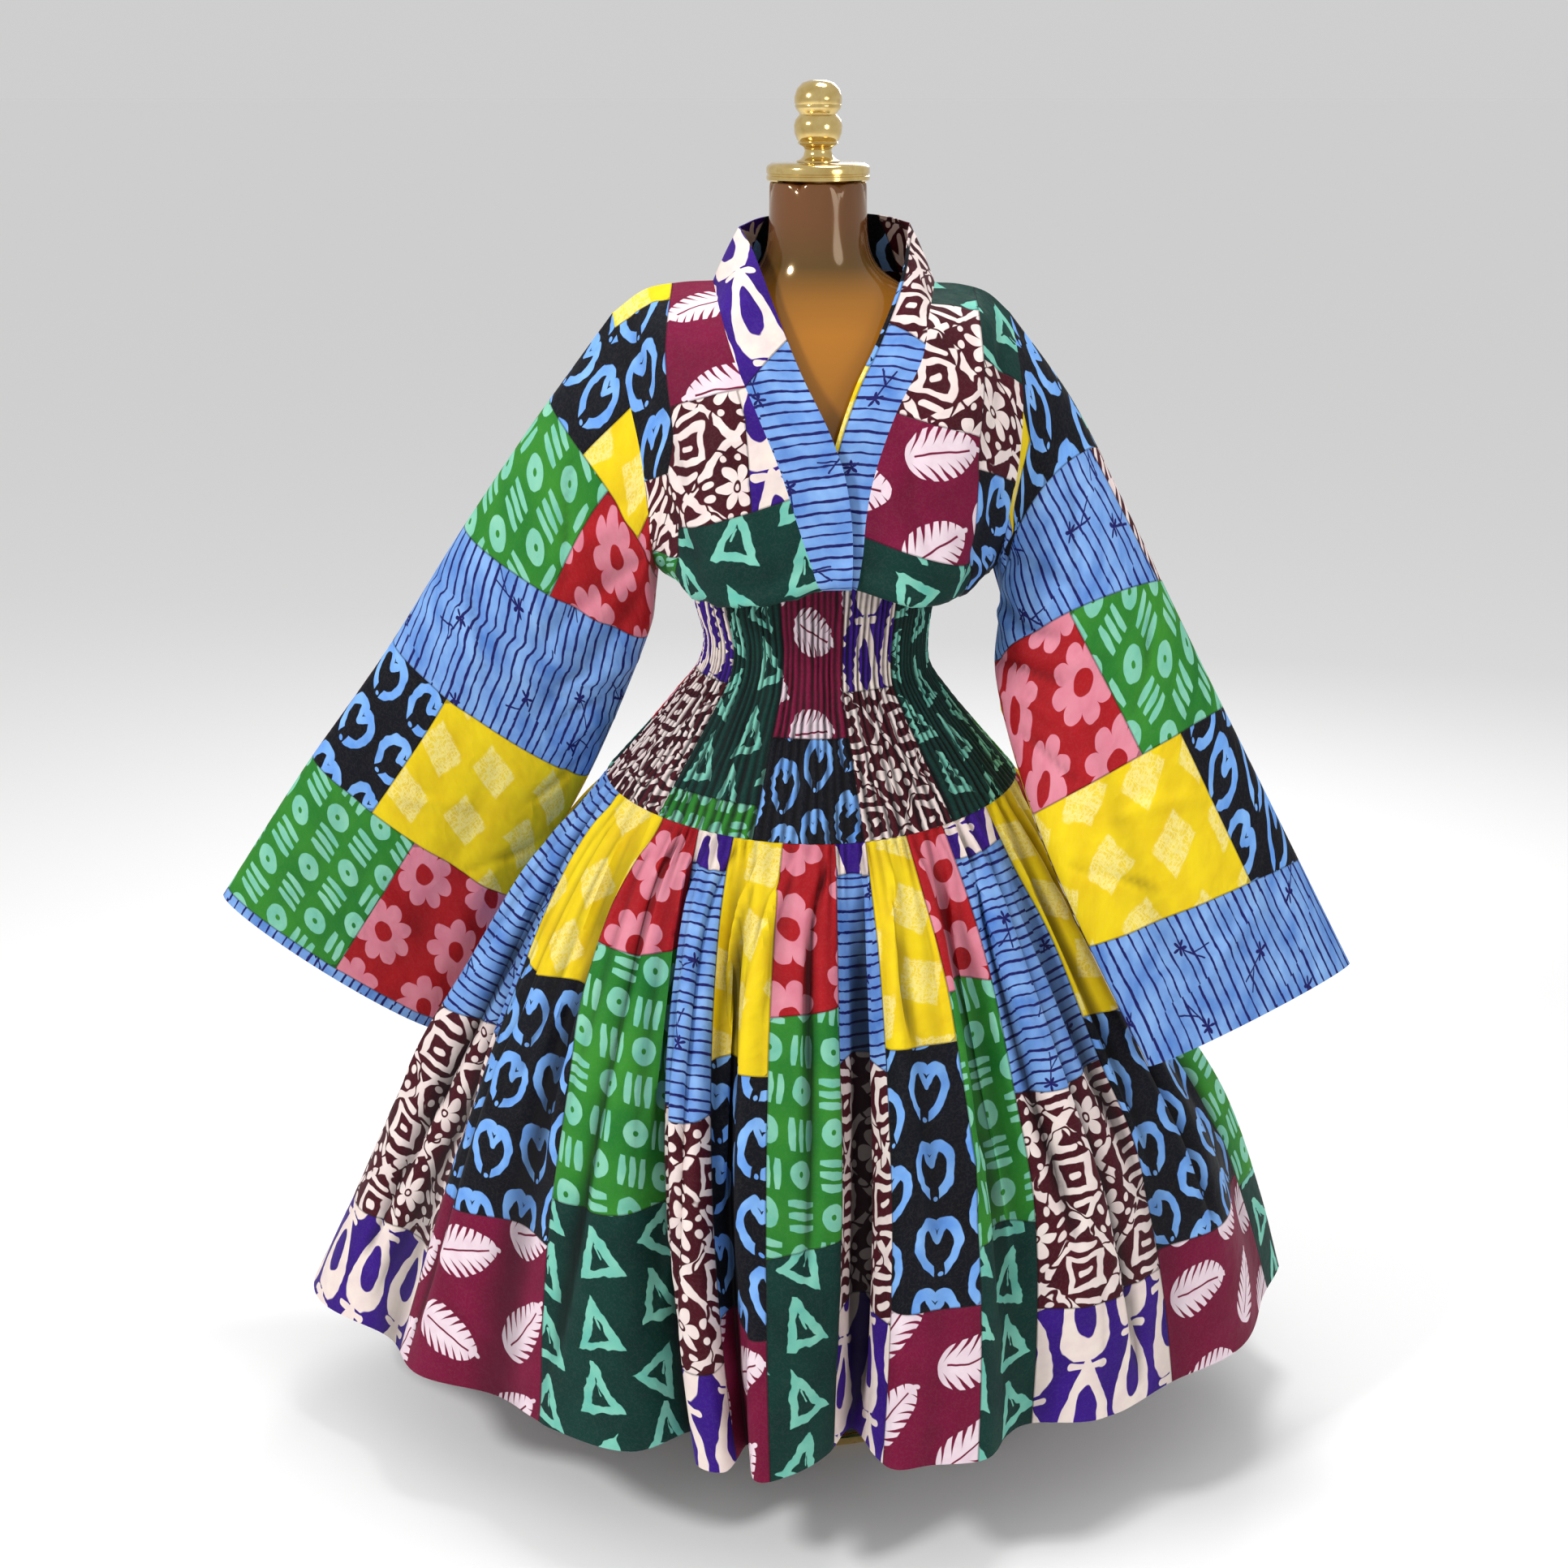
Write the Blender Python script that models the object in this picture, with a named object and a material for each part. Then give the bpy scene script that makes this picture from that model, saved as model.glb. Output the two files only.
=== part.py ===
"""Patchwork cotton dress on a limbless dress form.

Metres, +Z up, the front faces -Y. The origin is under the middle of the round base.
Left is -X and right is +X. Each cloth panel is a grid of points worked out from a short table of
sections, given a wall, and its edges drawn back so that neighbours stay apart at the seams.
"""

import math

import bpy
import numpy as np

WALL = 0.0020  # cloth wall
SEAM = 0.0002  # each panel's edge is drawn back this much at a seam
RING_SEAM = 0.0003  # the same where two rings have different numbers of points
EASE = 0.0004  # between the shirred panels and the waist of the form

WAIST_SEAM_Z = 1.066
TURN = 0.010  # the bodice is level for this much outside its seam
TURNED_UNDER = [0.97, 1.0]
WAIST_LEFT, WAIST_RIGHT, WAIST_FRONT, WAIST_BACK = 0.145, 0.141, 0.112, 0.098

STEEP = 0.6  # cosine between a panel's own normal and the shared one

RIBS = 33  # raised ribs on each shirred panel
RIB_HEIGHT = 0.0014

# Places down the bodice where it is sampled. UNDERARM is where the armhole ends.
UNDERARM = 0.88
BODICE_V = [0, 0.07, 0.14, 0.22, 0.30, 0.38, 0.46, 0.54, 0.62, 0.70, 0.78, 0.83, UNDERARM,
            0.91, 0.94, 0.97, 1.0]
ARMHOLE_ROWS = 12
FRONT_STEPS = 7  # across each front
NECK_STEPS = 8  # across the back of the neck
BAND_STEPS = 3  # across the neckband
SLEEVE_ROWS = 12
SKIRT_ROWS = 10

# Bodice fronts: place down the panel, then x, y, z at the neckband seam, at one third, at two
# thirds and at the armhole or side seam. The last row, the waist seam, comes from its ring.
FRONT_LEFT = [
    # v     neckband seam            one third                two thirds               side
    (0.00, -0.118, 0.000, 1.393, -0.155, 0.000, 1.391, -0.195, 0.000, 1.383, -0.232, 0.000, 1.357),
    (0.14, -0.106, -0.080, 1.362, -0.145, -0.073, 1.358, -0.187, -0.060, 1.345, -0.222, -0.038, 1.322),
    (0.30, -0.090, -0.115, 1.316, -0.130, -0.110, 1.308, -0.174, -0.095, 1.294, -0.211, -0.066, 1.272),
    (0.46, -0.066, -0.137, 1.262, -0.110, -0.140, 1.250, -0.155, -0.122, 1.235, -0.198, -0.080, 1.212),
    (0.62, -0.040, -0.152, 1.200, -0.088, -0.160, 1.187, -0.140, -0.143, 1.172, -0.191, -0.082, 1.150),
    (0.78, -0.022, -0.162, 1.145, -0.075, -0.174, 1.128, -0.130, -0.155, 1.112, -0.189, -0.060, 1.103),
    (0.88, -0.008, -0.168, 1.104, -0.066, -0.180, 1.085, -0.130, -0.148, 1.076, -0.186, 0.000, 1.064),
    (0.94, 0.004, -0.165, 1.074, -0.062, -0.172, 1.058, -0.122, -0.126, 1.054, -0.168, 0.000, 1.056),
]
FRONT_RIGHT = [
    (0.00, 0.131, 0.000, 1.391, 0.160, 0.000, 1.389, 0.190, 0.000, 1.380, 0.216, 0.000, 1.358),
    (0.14, 0.122, -0.074, 1.364, 0.155, -0.068, 1.359, 0.192, -0.058, 1.345, 0.223, -0.038, 1.318),
    (0.30, 0.113, -0.110, 1.318, 0.150, -0.107, 1.308, 0.192, -0.093, 1.292, 0.228, -0.066, 1.268),
    (0.46, 0.085, -0.136, 1.264, 0.132, -0.140, 1.250, 0.180, -0.122, 1.235, 0.225, -0.080, 1.210),
    (0.62, 0.062, -0.150, 1.200, 0.115, -0.160, 1.187, 0.166, -0.143, 1.172, 0.216, -0.082, 1.150),
    (0.78, 0.052, -0.159, 1.148, 0.108, -0.172, 1.130, 0.160, -0.152, 1.113, 0.209, -0.060, 1.103),
    (0.88, 0.048, -0.165, 1.106, 0.104, -0.176, 1.088, 0.156, -0.142, 1.077, 0.204, 0.000, 1.064),
    (0.94, 0.042, -0.163, 1.074, 0.098, -0.168, 1.058, 0.142, -0.122, 1.054, 0.182, 0.000, 1.056),
]
# Angles round the waist seam where each front's neckband edge ends.
LEFT_END, RIGHT_END = math.radians(5.3), math.radians(15.0)

# Bodice back: place, half width left and right, y at the side and the middle, z at both, and how
# full the curve between them is. The top row is the shoulder seams and the back neck.
BACK = [
    # v     left   right  y side y mid  z side z mid  fullness
    (0.14, 0.224, 0.223, 0.036, 0.108, 1.322, 1.366, 0.8),
    (0.30, 0.213, 0.228, 0.060, 0.118, 1.272, 1.312, 0.8),
    (0.46, 0.200, 0.225, 0.070, 0.122, 1.212, 1.252, 0.8),
    (0.62, 0.192, 0.216, 0.070, 0.126, 1.150, 1.190, 0.8),
    (0.78, 0.190, 0.209, 0.050, 0.132, 1.103, 1.136, 0.8),
    (0.88, 0.186, 0.204, 0.000, 0.136, 1.064, 1.096, 0.9),
    (0.94, 0.168, 0.182, 0.000, 0.126, 1.056, 1.060, 0.9),
]
BACK_NECK = [(-0.085, 0.062, 1.398), (0.0, 0.090, 1.402), (0.094, 0.062, 1.397)]

# Free edge of the neckband: place down the front, then x, y, z.
RIM_LEFT = [
    (0.00, -0.088, 0.000, 1.452), (0.14, -0.070, -0.054, 1.426), (0.30, -0.047, -0.086, 1.370),
    (0.46, -0.019, -0.113, 1.304), (0.62, 0.015, -0.149, 1.238), (0.78, 0.033, -0.163, 1.178),
    (0.88, 0.038, -0.172, 1.122), (0.94, 0.037, -0.172, 1.076),
]
RIM_RIGHT = [
    (0.00, 0.102, 0.000, 1.456), (0.14, 0.092, -0.062, 1.405), (0.30, 0.064, -0.098, 1.336),
    (0.46, 0.040, -0.119, 1.288), (0.62, 0.018, -0.143, 1.226), (0.78, 0.006, -0.152, 1.165),
    (0.88, 0.006, -0.158, 1.118), (0.94, 0.010, -0.157, 1.080),
]
RIM_BACK = [(-0.060, 0.045, 1.460), (0.0, 0.070, 1.464), (0.068, 0.045, 1.462)]
RIM_END_LEFT, RIM_END_RIGHT = math.radians(14.2), math.radians(6.5)
UNDER_LAP = 0.0027  # the right band lies this far in behind the left one below the V

# Sleeves: place along, then x, y, z of the outer edge and of the inner edge, and half thickness.
SLEEVE_LEFT = [
    (0.14, -0.300, 0.005, 1.268, -0.192, 0.004, 1.022, 0.058),
    (0.34, -0.412, 0.020, 1.113, -0.207, 0.026, 0.965, 0.058),
    (0.54, -0.516, 0.045, 0.957, -0.278, 0.085, 0.798, 0.050),
    (0.77, -0.634, 0.075, 0.797, -0.374, 0.125, 0.624, 0.042),
    (1.00, -0.756, 0.110, 0.619, -0.495, 0.155, 0.415, 0.034),
]
SLEEVE_RIGHT = [
    (0.14, 0.281, -0.006, 1.272, 0.215, -0.003, 1.022, 0.064),
    (0.34, 0.368, -0.026, 1.112, 0.206, -0.044, 0.950, 0.060),
    (0.54, 0.447, -0.052, 0.955, 0.230, -0.124, 0.852, 0.050),
    (0.77, 0.530, -0.085, 0.795, 0.280, -0.200, 0.728, 0.042),
    (1.00, 0.623, -0.120, 0.618, 0.374, -0.245, 0.542, 0.034),
]

# Shirred panels: z at the sides, half width left and right, depth front and back.
SHIRRED = [
    (1.0656, 0.145, 0.141, 0.112, 0.098),
    (1.030, 0.143, 0.134, 0.108, 0.094),
    (0.986, 0.133, 0.128, 0.103, 0.090),
    (0.950, 0.141, 0.131, 0.108, 0.096),
    (0.915, 0.168, 0.154, 0.126, 0.114),
    (0.875, 0.201, 0.187, 0.152, 0.140),
    (0.845, 0.228, 0.213, 0.176, 0.164),
    (0.818, 0.252, 0.236, 0.200, 0.186),
]
WAIST_ROW = 2
HIP_DIP = 0.026  # the hip seam is this much lower at the centre front than at the sides

# Skirt outline: place down, half width left and right, depth front and back, z at the side,
# front and back, and the power of the curve (2 is an ellipse, less is flatter between corners).
SKIRT = [
    # t     left   right  front  back   z side z front z back power
    (0.00, 0.252, 0.236, 0.200, 0.186, 0.818, 0.792, 0.818, 2.00),
    (0.10, 0.304, 0.282, 0.240, 0.226, 0.752, 0.735, 0.754, 2.00),
    (0.25, 0.366, 0.345, 0.290, 0.274, 0.660, 0.650, 0.662, 1.95),
    (0.45, 0.443, 0.425, 0.346, 0.326, 0.530, 0.526, 0.532, 1.90),
    (0.65, 0.517, 0.508, 0.390, 0.370, 0.400, 0.398, 0.400, 1.80),
    (0.85, 0.588, 0.563, 0.424, 0.406, 0.255, 0.254, 0.256, 1.74),
    (1.00, 0.641, 0.593, 0.442, 0.430, 0.150, 0.150, 0.152, 1.70),
]
FOLD_AT = [0.0, 0.12, 0.5, 1.0]  # places down where a fold's depth is given, the first is nothing

# Folds of the skirt: patch columns from the side seam, the angle from the centre front (or back)
# at the hip and at the hem, and how far out (+) or in (-) in mm near the hip, half way and at the hem.
FRONT_FOLDS = [
    # patch  hip    hem    out near hip, half way, at hem
    (0.00, -90.0, -90.0, 0, 0, 0),
    (0.45, -80.0, -74.0, 8, 12, 4),
    (0.80, -71.0, -60.0, -12, -26, -30),
    (1.30, -60.0, -47.0, 8, 10, -4),
    (1.62, -52.0, -38.0, -9, -16, -24),
    (2.10, -43.0, -28.0, 9, 14, 2),
    (2.60, -36.0, -18.5, 4, 8, 8),
    (3.02, -32.0, -13.5, -20, -42, -48),
    (3.45, -27.5, -11.8, 9, 20, 14),
    (3.80, -24.0, -9.0, 8, 16, 20),
    (4.25, -19.5, -7.4, -18, -40, -36),
    (4.75, -13.0, -6.0, 9, 20, 30),
    (5.30, -4.0, -2.4, 6, 8, 14),
    (5.85, 3.0, 1.0, -4, -10, -24),
    (6.50, 9.0, 4.2, -22, -54, -72),
    (7.10, 14.0, 7.6, 9, 18, 10),
    (7.60, 20.0, 12.0, 8, 16, 14),
    (8.10, 26.0, 18.0, 6, 12, 20),
    (8.55, 31.0, 21.5, -16, -32, -14),
    (9.00, 36.5, 25.0, 4, -4, -24),
    (9.50, 45.0, 33.0, 10, 18, 6),
    (10.0, 55.0, 45.0, -8, -12, -6),
    (10.5, 66.0, 59.0, 8, 14, 6),
    (10.9, 78.0, 75.0, -10, -20, -16),
    (11.3, 90.0, 90.0, 0, 0, 0),
]
BACK_FOLDS = [
    (0.00, -90.0, -90.0, 0, 0, 0),
    (0.50, -79.0, -76.0, -9, -20, -22),
    (1.10, -67.0, -62.0, 8, 14, 8),
    (1.60, -56.0, -50.0, -10, -24, -26),
    (2.30, -45.0, -37.0, 9, 16, 12),
    (2.90, -34.0, -27.0, -14, -34, -38),
    (3.50, -25.0, -18.0, 9, 18, 14),
    (4.20, -14.0, -10.0, -13, -30, -28),
    (4.90, -4.0, -2.0, 8, 16, 16),
    (5.60, 6.0, 5.0, -12, -32, -44),
    (6.20, 15.0, 12.0, 9, 18, 12),
    (6.90, 26.0, 22.0, 4, 10, 10),
    (7.50, 36.0, 31.0, -14, -34, -34),
    (8.10, 46.0, 40.0, 9, 16, 14),
    (8.80, 57.0, 52.0, -10, -24, -24),
    (9.50, 68.0, 64.0, 8, 14, 8),
    (10.1, 80.0, 78.0, -9, -18, -18),
    (10.6, 90.0, 90.0, 0, 0, 0),
]

# Form: z, half width, depth front and back. The waist row follows the shirred panels.
FORM = [
    (1.5010, 0.0547, 0.0547, 0.0547), (1.462, 0.0550, 0.0550, 0.0550),
    (1.430, 0.0565, 0.0560, 0.0565), (1.408, 0.0660, 0.0590, 0.0620),
    (1.392, 0.0880, 0.0640, 0.0680), (1.374, 0.1250, 0.0710, 0.0760),
    (1.348, 0.1680, 0.0800, 0.0840), (1.310, 0.1860, 0.0920, 0.0900),
    (1.260, 0.1780, 0.1050, 0.0920), (1.200, 0.1600, 0.1180, 0.0900),
    (1.140, 0.1450, 0.1100, 0.0870), (1.080, 0.1310, 0.0980, 0.0850),
    (1.030, 0.1220, 0.0950, 0.0830), None,
    (0.940, 0.1240, 0.0960, 0.0880), (0.890, 0.1380, 0.1050, 0.0980),
    (0.840, 0.1540, 0.1120, 0.1080), (0.780, 0.1640, 0.1160, 0.1150),
    (0.725, 0.1600, 0.1120, 0.1140), (0.700, 0.1480, 0.1020, 0.1040),
]
FORM_COLUMNS = 28

# Turned pieces: radius and z, from the bottom up.
CAP_PLATE = [(0.0560, 1.5013), (0.0575, 1.5028), (0.0575, 1.5150), (0.0560, 1.5185), (0.0520, 1.5205)]
FINIAL = [(0.0240, 1.5208), (0.0240, 1.5228), (0.0165, 1.5275), (0.0148, 1.5335), (0.0185, 1.5385),
          (0.0215, 1.5410), (0.0235, 1.5450), (0.0262, 1.5520), (0.0268, 1.5600), (0.0250, 1.5665),
          (0.0215, 1.5705), (0.0212, 1.5735), (0.0245, 1.5775), (0.0262, 1.5835), (0.0262, 1.5900),
          (0.0235, 1.5985), (0.0175, 1.6050), (0.0090, 1.6078)]
POLE = [(0.0160, 0.0433), (0.0160, 0.6997)]
BASE = [(0.1750, 0.0000), (0.1800, 0.0030), (0.1800, 0.0120), (0.1720, 0.0160), (0.0600, 0.0200),
        (0.0320, 0.0260), (0.0270, 0.0360), (0.0260, 0.0430)]
TURNED_COLUMNS = 22

CLOTH_COLOURS = {
    "bodice_front_left": (0.25, 0.05, 0.10), "bodice_front_right": (0.22, 0.02, 0.08),
    "bodice_back": (0.12, 0.16, 0.40), "neckband_left": (0.20, 0.38, 0.75),
    "neckband_right": (0.20, 0.38, 0.75), "sleeve_left_front": (0.10, 0.30, 0.30),
    "sleeve_left_back": (0.10, 0.30, 0.30), "sleeve_right_front": (0.20, 0.35, 0.60),
    "sleeve_right_back": (0.20, 0.35, 0.60), "shirred_waist_front": (0.03, 0.14, 0.12),
    "shirred_waist_back": (0.03, 0.14, 0.12), "skirt_front": (0.10, 0.22, 0.20),
    "skirt_back": (0.10, 0.22, 0.20),
}
BROWN = (0.16, 0.075, 0.02)
BRASS = (0.78, 0.62, 0.30)


def smooth(knots, values, at):
    """Values between the rows of a table, on a smooth curve through them."""
    k, v, at = np.asarray(knots, float), np.asarray(values, float), np.asarray(at, float)
    step = np.diff(k)
    slope = np.diff(v, axis=0) / step.reshape(-1, *[1] * (v.ndim - 1))
    tangent = np.empty_like(v)
    tangent[0], tangent[-1] = slope[0], slope[-1]
    w = (step[1:] / (step[1:] + step[:-1])).reshape(-1, *[1] * (v.ndim - 1))
    tangent[1:-1] = w * slope[:-1] + (1 - w) * slope[1:]
    i = np.clip(np.searchsorted(k, at, side="right") - 1, 0, len(step) - 1)
    h = step[i]
    s = ((at - k[i]) / h).reshape(-1, *[1] * (v.ndim - 1))
    h = h.reshape(s.shape)
    return ((1 + 2 * s) * (1 - s) ** 2 * v[i] + s * (1 - s) ** 2 * h * tangent[i]
            + s * s * (3 - 2 * s) * v[i + 1] + s * s * (s - 1) * h * tangent[i + 1])


def ring(left, right, front, back, angle, power=2.0):
    """x and y at angles from the centre front (0) to the right (+) and on to the back."""
    s, c = np.sin(angle), np.cos(angle)
    x = np.where(s >= 0, right, left) * s
    y = -np.sign(c) * np.where(c >= 0, front, back) * (1 - np.minimum(np.abs(s), 1) ** power) ** (1 / power)
    return x, y


def waist_seam(angles, wider=0.0):
    x, y = ring(WAIST_LEFT + wider, WAIST_RIGHT + wider, WAIST_FRONT + wider, WAIST_BACK + wider, angles)
    return np.stack([x, y, np.full_like(x, WAIST_SEAM_Z)], axis=1)


def front_panel(table, end, side):
    """Rows from the shoulder to the waist seam, columns from the neckband to the side."""
    u = np.linspace(0, 1, FRONT_STEPS + 1)
    v = [row[0] for row in table] + TURNED_UNDER
    rows = [smooth([0, 1 / 3, 2 / 3, 1], np.reshape(row[1:], (4, 3)), u) for row in table]
    rows += [waist_seam(end + (side - end) * u, wider) for wider in (TURN, 0)]
    return smooth(v, rows, BODICE_V)


def back_panel(left, right):
    """Rows as the fronts, columns from the left side over the back neck to the right side."""
    neck = np.array([left[0, 0], *BACK_NECK, right[0, 0]])
    neck = smooth(np.linspace(0, 1, len(neck)), neck, np.linspace(0, 1, NECK_STEPS + 1))
    top = np.concatenate([left[0, ::-1], neck[1:-1], right[0]])
    along = np.concatenate([[0], np.cumsum(np.linalg.norm(np.diff(top, axis=0), axis=1))])
    angle = (along / along[-1] - 0.5) * math.pi
    s, c = np.sin(angle), np.maximum(np.cos(angle), 0)
    rows, v = [top], [0.0]
    for at, xl, xr, y_side, y_mid, z_side, z_mid, full in BACK:
        x = np.where(s >= 0, xr, xl) * s
        rows.append(np.stack([x, y_side + (y_mid - y_side) * c**full, z_side + (z_mid - z_side) * c**full], 1))
        v.append(at)
    rows += [waist_seam(math.pi - angle, wider) for wider in (TURN, 0)]
    return smooth(v + TURNED_UNDER, rows, BODICE_V)


def neckband(front, table, back_seam, back_rim, rim_end, drop):
    """Rows from the centre back over the shoulder down to the waist, columns from the seam to the rim."""
    v = [row[0] for row in table] + TURNED_UNDER
    ends = [waist_seam(np.array([rim_end]), wider)[0] for wider in (TURN, 0)]
    rim = smooth(v, [row[1:] for row in table] + ends, BODICE_V)
    seam = np.concatenate([back_seam, front[1:, 0]])
    rim = np.concatenate([back_rim, rim[1:]])
    u = np.linspace(0, 1, BAND_STEPS + 1)
    bow = 0.006 * np.sin(math.pi * u)
    grid = seam[:, None] * (1 - u)[None, :, None] + rim[:, None] * u[None, :, None]
    fade = np.concatenate([np.ones(len(back_seam)), np.linspace(1, 0, len(BODICE_V) - 1)])
    grid[:, :, 2] += 0.5 * bow * fade[:, None]
    for at, row in zip(BODICE_V[1:], grid[len(back_seam):]):
        if at > 0.55:
            row[1:, 1] += drop * min((at - 0.55) / 0.15, 1)
        if at > 0.9:
            row[:, 2] += drop * min((at - 0.9) / 0.06, 1)
    return grid


def sleeve(edge, table):
    """Rows from the armhole to the cuff, columns once round from the outer edge by the front."""
    count = len(edge)
    angle = np.arange(count) * 2 * math.pi / count
    outer = np.array([row[1:4] for row in table])
    inner = np.array([row[4:7] for row in table])
    middle = (outer + inner) / 2
    run = np.gradient(np.concatenate([[edge.mean(0)], middle]), axis=0)[1:]
    rows = [edge]
    for o, i, m, along, half in zip(outer, inner, middle, run, [row[7] for row in table]):
        width = (o - i) / 2
        across = np.cross(along, width)
        across *= half / np.linalg.norm(across)
        if across[1] > 0:
            across = -across
        rows.append(m + np.outer(np.cos(angle), width) + np.outer(np.sin(angle), across))
    return smooth([0] + [row[0] for row in table], rows, np.linspace(0, 1, SLEEVE_ROWS + 1) ** 1.1)


def shirred(angles):
    """Rows from the waist seam to the hip, on the plain inside surface plus a wall."""
    rows = []
    for i, (z, left, right, front, back) in enumerate(SHIRRED):
        x, y = ring(left, right, front, back, angles)
        dip = HIP_DIP * (i / (len(SHIRRED) - 1)) ** 2 * np.maximum(np.cos(angles), 0) ** 2
        rows.append(np.stack([x, y, z - dip], axis=1))
    return np.array(rows)


def skirt(folds, is_back):
    """Rows from the hip to the hem, columns from the left side to the right one."""
    table = np.array(folds, float)
    c = np.concatenate([np.linspace(a, b, 3, endpoint=False) for a, b in zip(table[:-1, 0], table[1:, 0])]
                       + [[table[-1, 0]]])
    values = smooth(table[:, 0], table[:, 1:], c)
    t = np.linspace(0, 1, SKIRT_ROWS)
    shape = smooth([row[0] for row in SKIRT], [row[1:] for row in SKIRT], t)
    grid = np.empty((len(t), len(c), 3))
    for i, (left, right, front, back, z_side, z_front, z_back, power) in enumerate(shape):
        angle = np.radians(values[:, 0] + (values[:, 1] - values[:, 0]) * t[i])
        mid = z_back if is_back else z_front
        if is_back:
            angle = math.pi - angle
        x, y = ring(left, right, front, back, angle, power)
        depth = back if is_back else front
        out = np.stack([x / (left + right) ** 2 * 4, y / depth**2], axis=1)
        out /= np.linalg.norm(out, axis=1)[:, None]
        amount = smooth(FOLD_AT, np.stack([0 * values[:, 2], *values[:, 2:].T]), [t[i]])[0] / 1000
        grid[i, :, 0], grid[i, :, 1] = x + out[:, 0] * amount, y + out[:, 1] * amount
        grid[i, :, 2] = z_side + (mid - z_side) * np.cos(angle) ** 2
    return grid


def normals(grid, centre, closed=False):
    """Unit normals of a grid, pointing away from the centre."""
    if closed:
        wide = np.concatenate([grid[:, -1:], grid, grid[:, :1]], axis=1)
        du = (wide[:, 2:] - wide[:, :-2]) / 2
    else:
        du = np.gradient(grid, axis=1)
    n = np.cross(du, np.gradient(grid, axis=0))
    n /= np.maximum(np.linalg.norm(n, axis=2), 1e-9)[:, :, None]
    return n if (n * (grid - centre)).sum() > 0 else -n


def share(grids, fields):
    """Where points of two panels are the same, both get the mean of their normals.

    In the tight fold under each arm they lean back towards their own."""
    total = {}
    for grid, field in zip(grids, fields):
        for p, n in zip(np.round(grid.reshape(-1, 3), 6), field.reshape(-1, 3)):
            total[tuple(p)] = total.get(tuple(p), 0) + n
    shared = []
    for grid, field in zip(grids, fields):
        n = np.array([total[tuple(p)] for p in np.round(grid.reshape(-1, 3), 6)])
        n = (n / np.linalg.norm(n, axis=1)[:, None]).reshape(field.shape)
        steep = ((n * field).sum(2) < STEEP)[:, :, None]
        n = n + steep * field
        shared.append(n / np.linalg.norm(n, axis=2)[:, :, None])
    return shared


def drawn_back(grid, top=0.0, bottom=0.0, first=0.0, last=0.0):
    """The grid with its outer rows and columns moved in along the cloth, square to each edge."""
    out = grid.copy()
    everywhere = slice(None)
    for amount, at, inside in ((top, (0, everywhere), (1, everywhere)),
                               (bottom, (-1, everywhere), (-2, everywhere)),
                               (first, (everywhere, 0), (everywhere, 1)),
                               (last, (everywhere, -1), (everywhere, -2))):
        along = np.gradient(grid[at], axis=0)
        along /= np.maximum(np.linalg.norm(along, axis=1), 1e-9)[:, None]
        way = grid[inside] - grid[at]
        way -= (way * along).sum(1)[:, None] * along
        out[at] += amount * way / np.maximum(np.linalg.norm(way, axis=1), 1e-9)[:, None]
    return out


def material(name, colour, roughness, metallic=0.0):
    m = bpy.data.materials.new(name)
    m.use_nodes = True
    shader = m.node_tree.nodes["Principled BSDF"]
    shader.inputs["Base Color"].default_value = (*colour, 1.0)
    shader.inputs["Roughness"].default_value = roughness
    shader.inputs["Metallic"].default_value = metallic
    m.diffuse_color = (*colour, 1.0)
    return m


def add(name, points, faces, look):
    mesh = bpy.data.meshes.new(name)
    mesh.from_pydata([tuple(p) for p in points], [], faces)
    volume = 0.0
    for f in faces:
        for k in range(1, len(f) - 1):
            volume += np.dot(points[f[0]], np.cross(points[f[k]], points[f[k + 1]]))
    if volume < 0:
        mesh.flip_normals()
    mesh.materials.append(look)
    obj = bpy.data.objects.new(name, mesh)
    bpy.context.scene.collection.objects.link(obj)
    return obj


def wall(name, outer, inner):
    """A closed solid between two grids."""
    rows, cols, _ = outer.shape
    points = np.concatenate([outer.reshape(-1, 3), inner.reshape(-1, 3)])
    n = rows * cols
    faces = []
    for r in range(rows - 1):
        for c in range(cols - 1):
            a, b = r * cols + c, r * cols + c + 1
            d, e = a + cols, b + cols
            # Both sides of the wall are split along the same diagonal, the shorter one.
            if np.linalg.norm(points[a] - points[e]) < np.linalg.norm(points[b] - points[d]):
                pair = ((a, b, e), (a, e, d))
            else:
                pair = ((a, b, d), (b, e, d))
            for i, j, k in pair:
                faces += [(i, j, k), (n + k, n + j, n + i)]
    for c in range(cols - 1):
        for r, turn in ((0, 1), (rows - 1, 0)):
            a, b = r * cols + c, r * cols + c + 1
            faces.append((b, a, n + a, n + b) if turn else (a, b, n + b, n + a))
    for r in range(rows - 1):
        for c, turn in ((0, 0), (cols - 1, 1)):
            a, b = r * cols + c, (r + 1) * cols + c
            faces.append((b, a, n + a, n + b) if turn else (a, b, n + b, n + a))
    return add(name, points, faces, material(name + "_cotton", CLOTH_COLOURS[name], 0.75))


def rings(name, sections, look):
    """A solid through closed rings, with flat ends."""
    count = len(sections[0])
    points = np.concatenate(sections)
    faces = []
    for r in range(len(sections) - 1):
        for c in range(count):
            a, b = r * count + c, r * count + (c + 1) % count
            faces.append((a, b, b + count, a + count))
    faces.append(tuple(range(count))[::-1])
    faces.append(tuple(range(len(points) - count, len(points))))
    return add(name, points, faces, look)


def turned(name, profile, look):
    angle = np.arange(TURNED_COLUMNS) * 2 * math.pi / TURNED_COLUMNS
    circle = np.stack([np.cos(angle), np.sin(angle)], axis=1)
    return rings(name, [np.column_stack([r * circle, np.full(len(angle), z)]) for r, z in profile], look)


for old in list(bpy.data.objects):
    bpy.data.objects.remove(old, do_unlink=True)

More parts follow.
